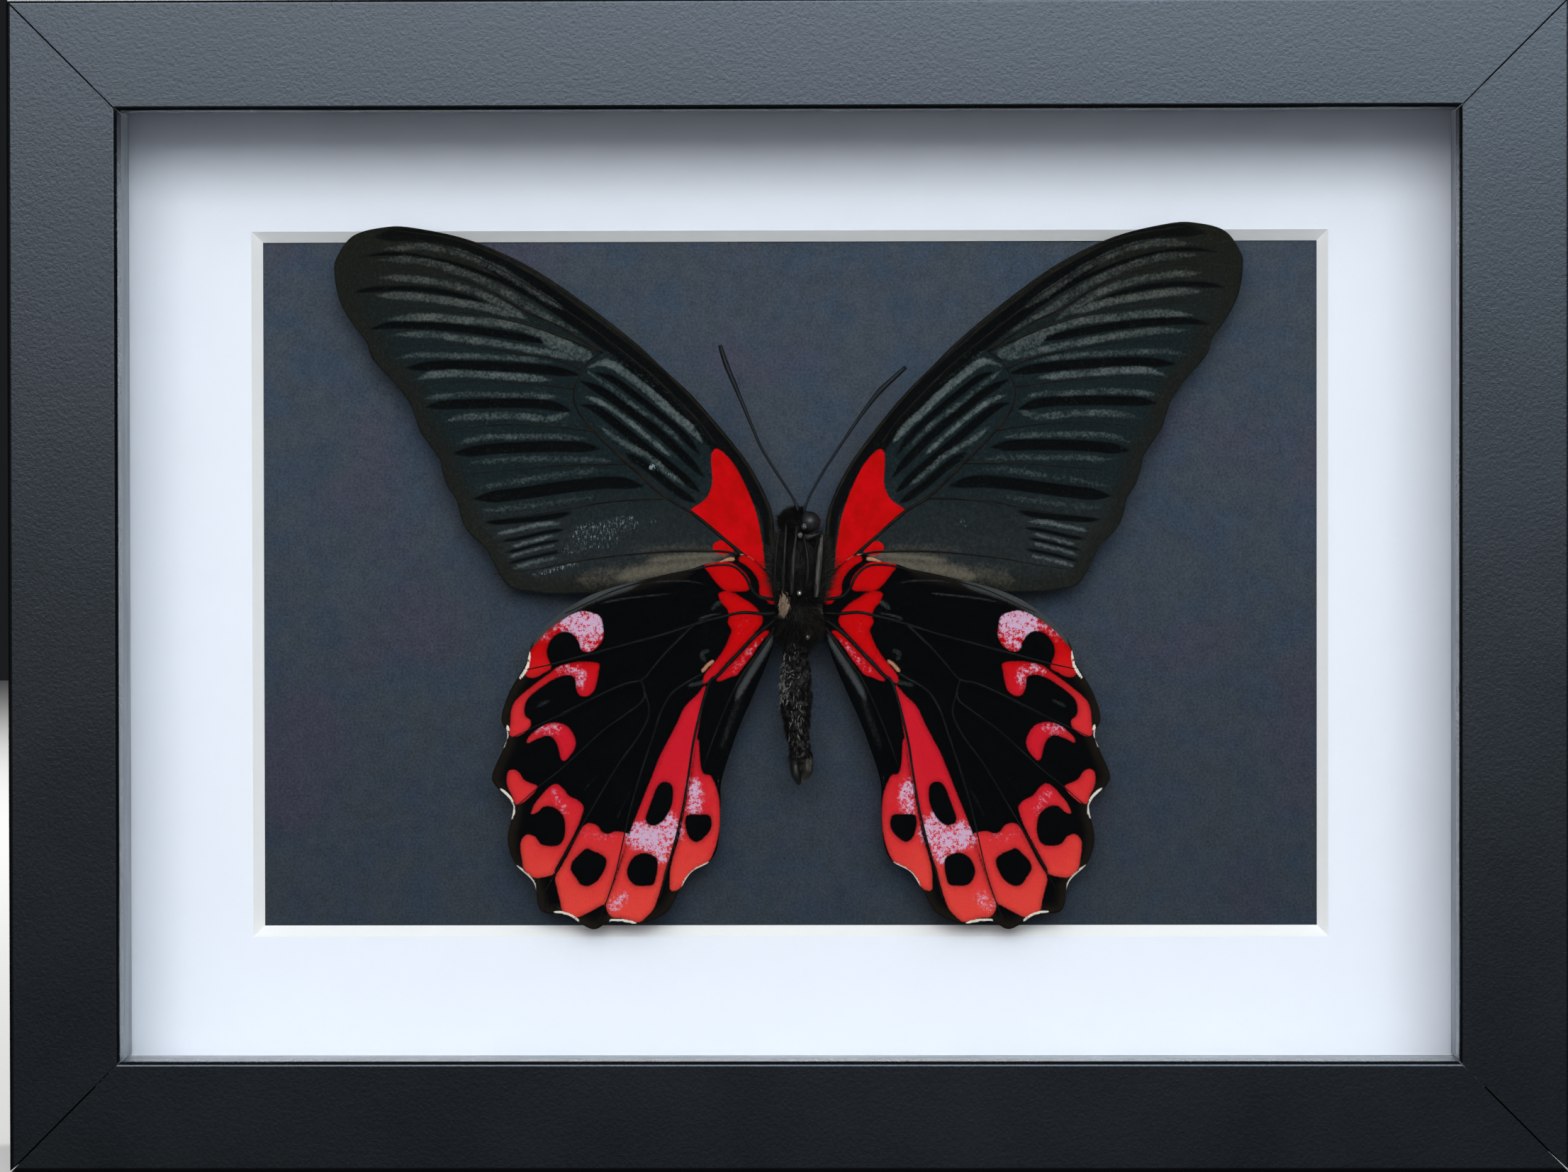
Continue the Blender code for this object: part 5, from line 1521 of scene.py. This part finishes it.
def feeler_finish():
    finish = Finish("feeler_shell", Specular_IOR_Level=0.15)
    place = finish.place()
    rings = finish.node("ShaderNodeTexWave", {"bands_direction": "Z"}, {"Vector": place, "Scale": 650.0}, 1)
    patches = finish.noise(place, 500, 2.0)
    colour = finish.mix(patches, FEELER_BLACK, FEELER_SLATE)
    return finish.surface(colour, 0.42 + patches * 0.2, rings, (0.5, 0.00003))


feeler_shell = feeler_finish()
for name, path in FEELER_PATHS.items():
    flat = np.array(path, float)
    rod = np.stack([flat[:, 0], np.full(len(flat), FEELER_FRONT), flat[:, 1] + FRAME_MIDDLE / MM], 1)
    feeler = tube(name, rod * MM, np.array(FEELER_RADII) * MM, sides=4)
    feeler.data.materials.append(feeler_shell)
    settle(feeler, "chitin", name)


# ---------------------------------------------------------------------------
# Pin and block: a nickelled steel pin, its rounded tip showing on the underside, driven into a small block of
# white foam that is glued to the card behind the body.

PIN_ACROSS = 1.4
PIN_UP = 74.4
PIN_DEPTHS = (-5.35, -5.2, -4.9, -4.2, 0.0, 5.5)
PIN_RADII = (0.10, 0.27, 0.34, 0.34, 0.34, 0.10)
NICKEL_BRIGHT = (0.62, 0.62, 0.60, 1)
NICKEL_DULL = (0.42, 0.42, 0.40, 1)
FOAM_WHITE = (0.80, 0.80, 0.77, 1)
FOAM_SHADE = (0.62, 0.62, 0.60, 1)

pin_path = np.array([(PIN_ACROSS, depth, PIN_UP) for depth in PIN_DEPTHS]) * MM
pin = tube("insect_pin", pin_path, np.array(PIN_RADII) * MM, sides=6, steps=4)
pin.data.materials.append(metal_finish("nickelled_pin", NICKEL_BRIGHT, NICKEL_DULL))
settle(pin, "steel", "insect_pin")


def foam_finish():
    finish = Finish("white_foam", Specular_IOR_Level=0.2)
    place = finish.place()
    beads = finish.cells(place, 1300)
    clouds = finish.noise(place, 300, 2.0)
    colour = finish.mix(clouds * 0.6 + beads * 0.6, FOAM_WHITE, FOAM_SHADE)
    return finish.surface(colour, 0.8 + clouds * 0.1, 1 - beads, (0.6, 0.0002))


cover("support_block", foam_finish())


# ---------------------------------------------------------------------------
# Floor and light: a pale matt table, two broad soft lamps side by side in front and above, and two weaker
# ones that show the sides and back.

FLOOR_COLOUR = (0.72, 0.72, 0.71, 1)
FLOOR_SIZE = 4.0
FLOOR_DROP = 0.0002
LAMP_DISTANCE = 3.0
LAMP_HEIGHT = math.radians(17.5)
LAMP_PLACES = {"left": -8, "right": 11}
LAMP_SIZE = (1.0, 1.05)
LAMP_POWER = {"left": 24.2, "right": 25.4}
LAMP_COLOUR = {"left": (1.0, 0.985, 0.975), "right": (0.95, 1.0, 1.02)}
REAR_DISTANCE = 1.4
REAR_SIZE = (0.8, 0.8)
REAR_COLOUR = (1.0, 1.0, 1.0)
REAR_LAMPS = {"left_rear_lamp": (215, 40, 16.0), "right_rear_lamp": (130, 35, 12.0)}
AMBIENT = (0.011, 0.012, 0.013, 1)

bpy.ops.object.select_all(action="DESELECT")
bpy.ops.mesh.primitive_plane_add(size=FLOOR_SIZE, location=(0, 0, -FLOOR_DROP))
floor = bpy.context.object
floor.name = "table_top"
floor_finish = Finish("pale_table", Base_Color=FLOOR_COLOUR, Roughness=0.8, Specular_IOR_Level=0.2)
floor.data.materials.append(floor_finish.data)
floor.visible_diffuse = False
floor.visible_glossy = False
floor.visible_transmission = False

middle = Vector((0, 0, FRAME_MIDDLE))


def lamp(name, azimuth, height, distance, size, power, colour):
    """A rectangular soft lamp that points at the frame's middle."""
    level = math.cos(height)
    away = Vector((math.sin(azimuth) * level, -math.cos(azimuth) * level, math.sin(height)))
    bpy.ops.object.light_add(type="AREA", location=middle + away * distance)
    made = bpy.context.object
    made.name = name
    made.data.shape = "RECTANGLE"
    made.data.size, made.data.size_y = size
    made.data.energy = power
    made.data.color = colour
    made.rotation_mode = "QUATERNION"
    made.rotation_quaternion = away.to_track_quat("Z", "Y")
    return made


for side, colour in LAMP_COLOUR.items():
    azimuth = math.radians(LAMP_PLACES[side])
    lamp("front_lamp_" + side, azimuth, LAMP_HEIGHT, LAMP_DISTANCE, LAMP_SIZE, LAMP_POWER[side], colour)
for name, (turn, rise, power) in REAR_LAMPS.items():
    lamp(name, math.radians(turn), math.radians(rise), REAR_DISTANCE, REAR_SIZE, power, REAR_COLOUR)

world = bpy.data.worlds.new("studio")
world.use_nodes = True
world.node_tree.nodes["Background"].inputs["Color"].default_value = AMBIENT
bpy.context.scene.world = world
bpy.context.scene.view_settings.view_transform = "Standard"
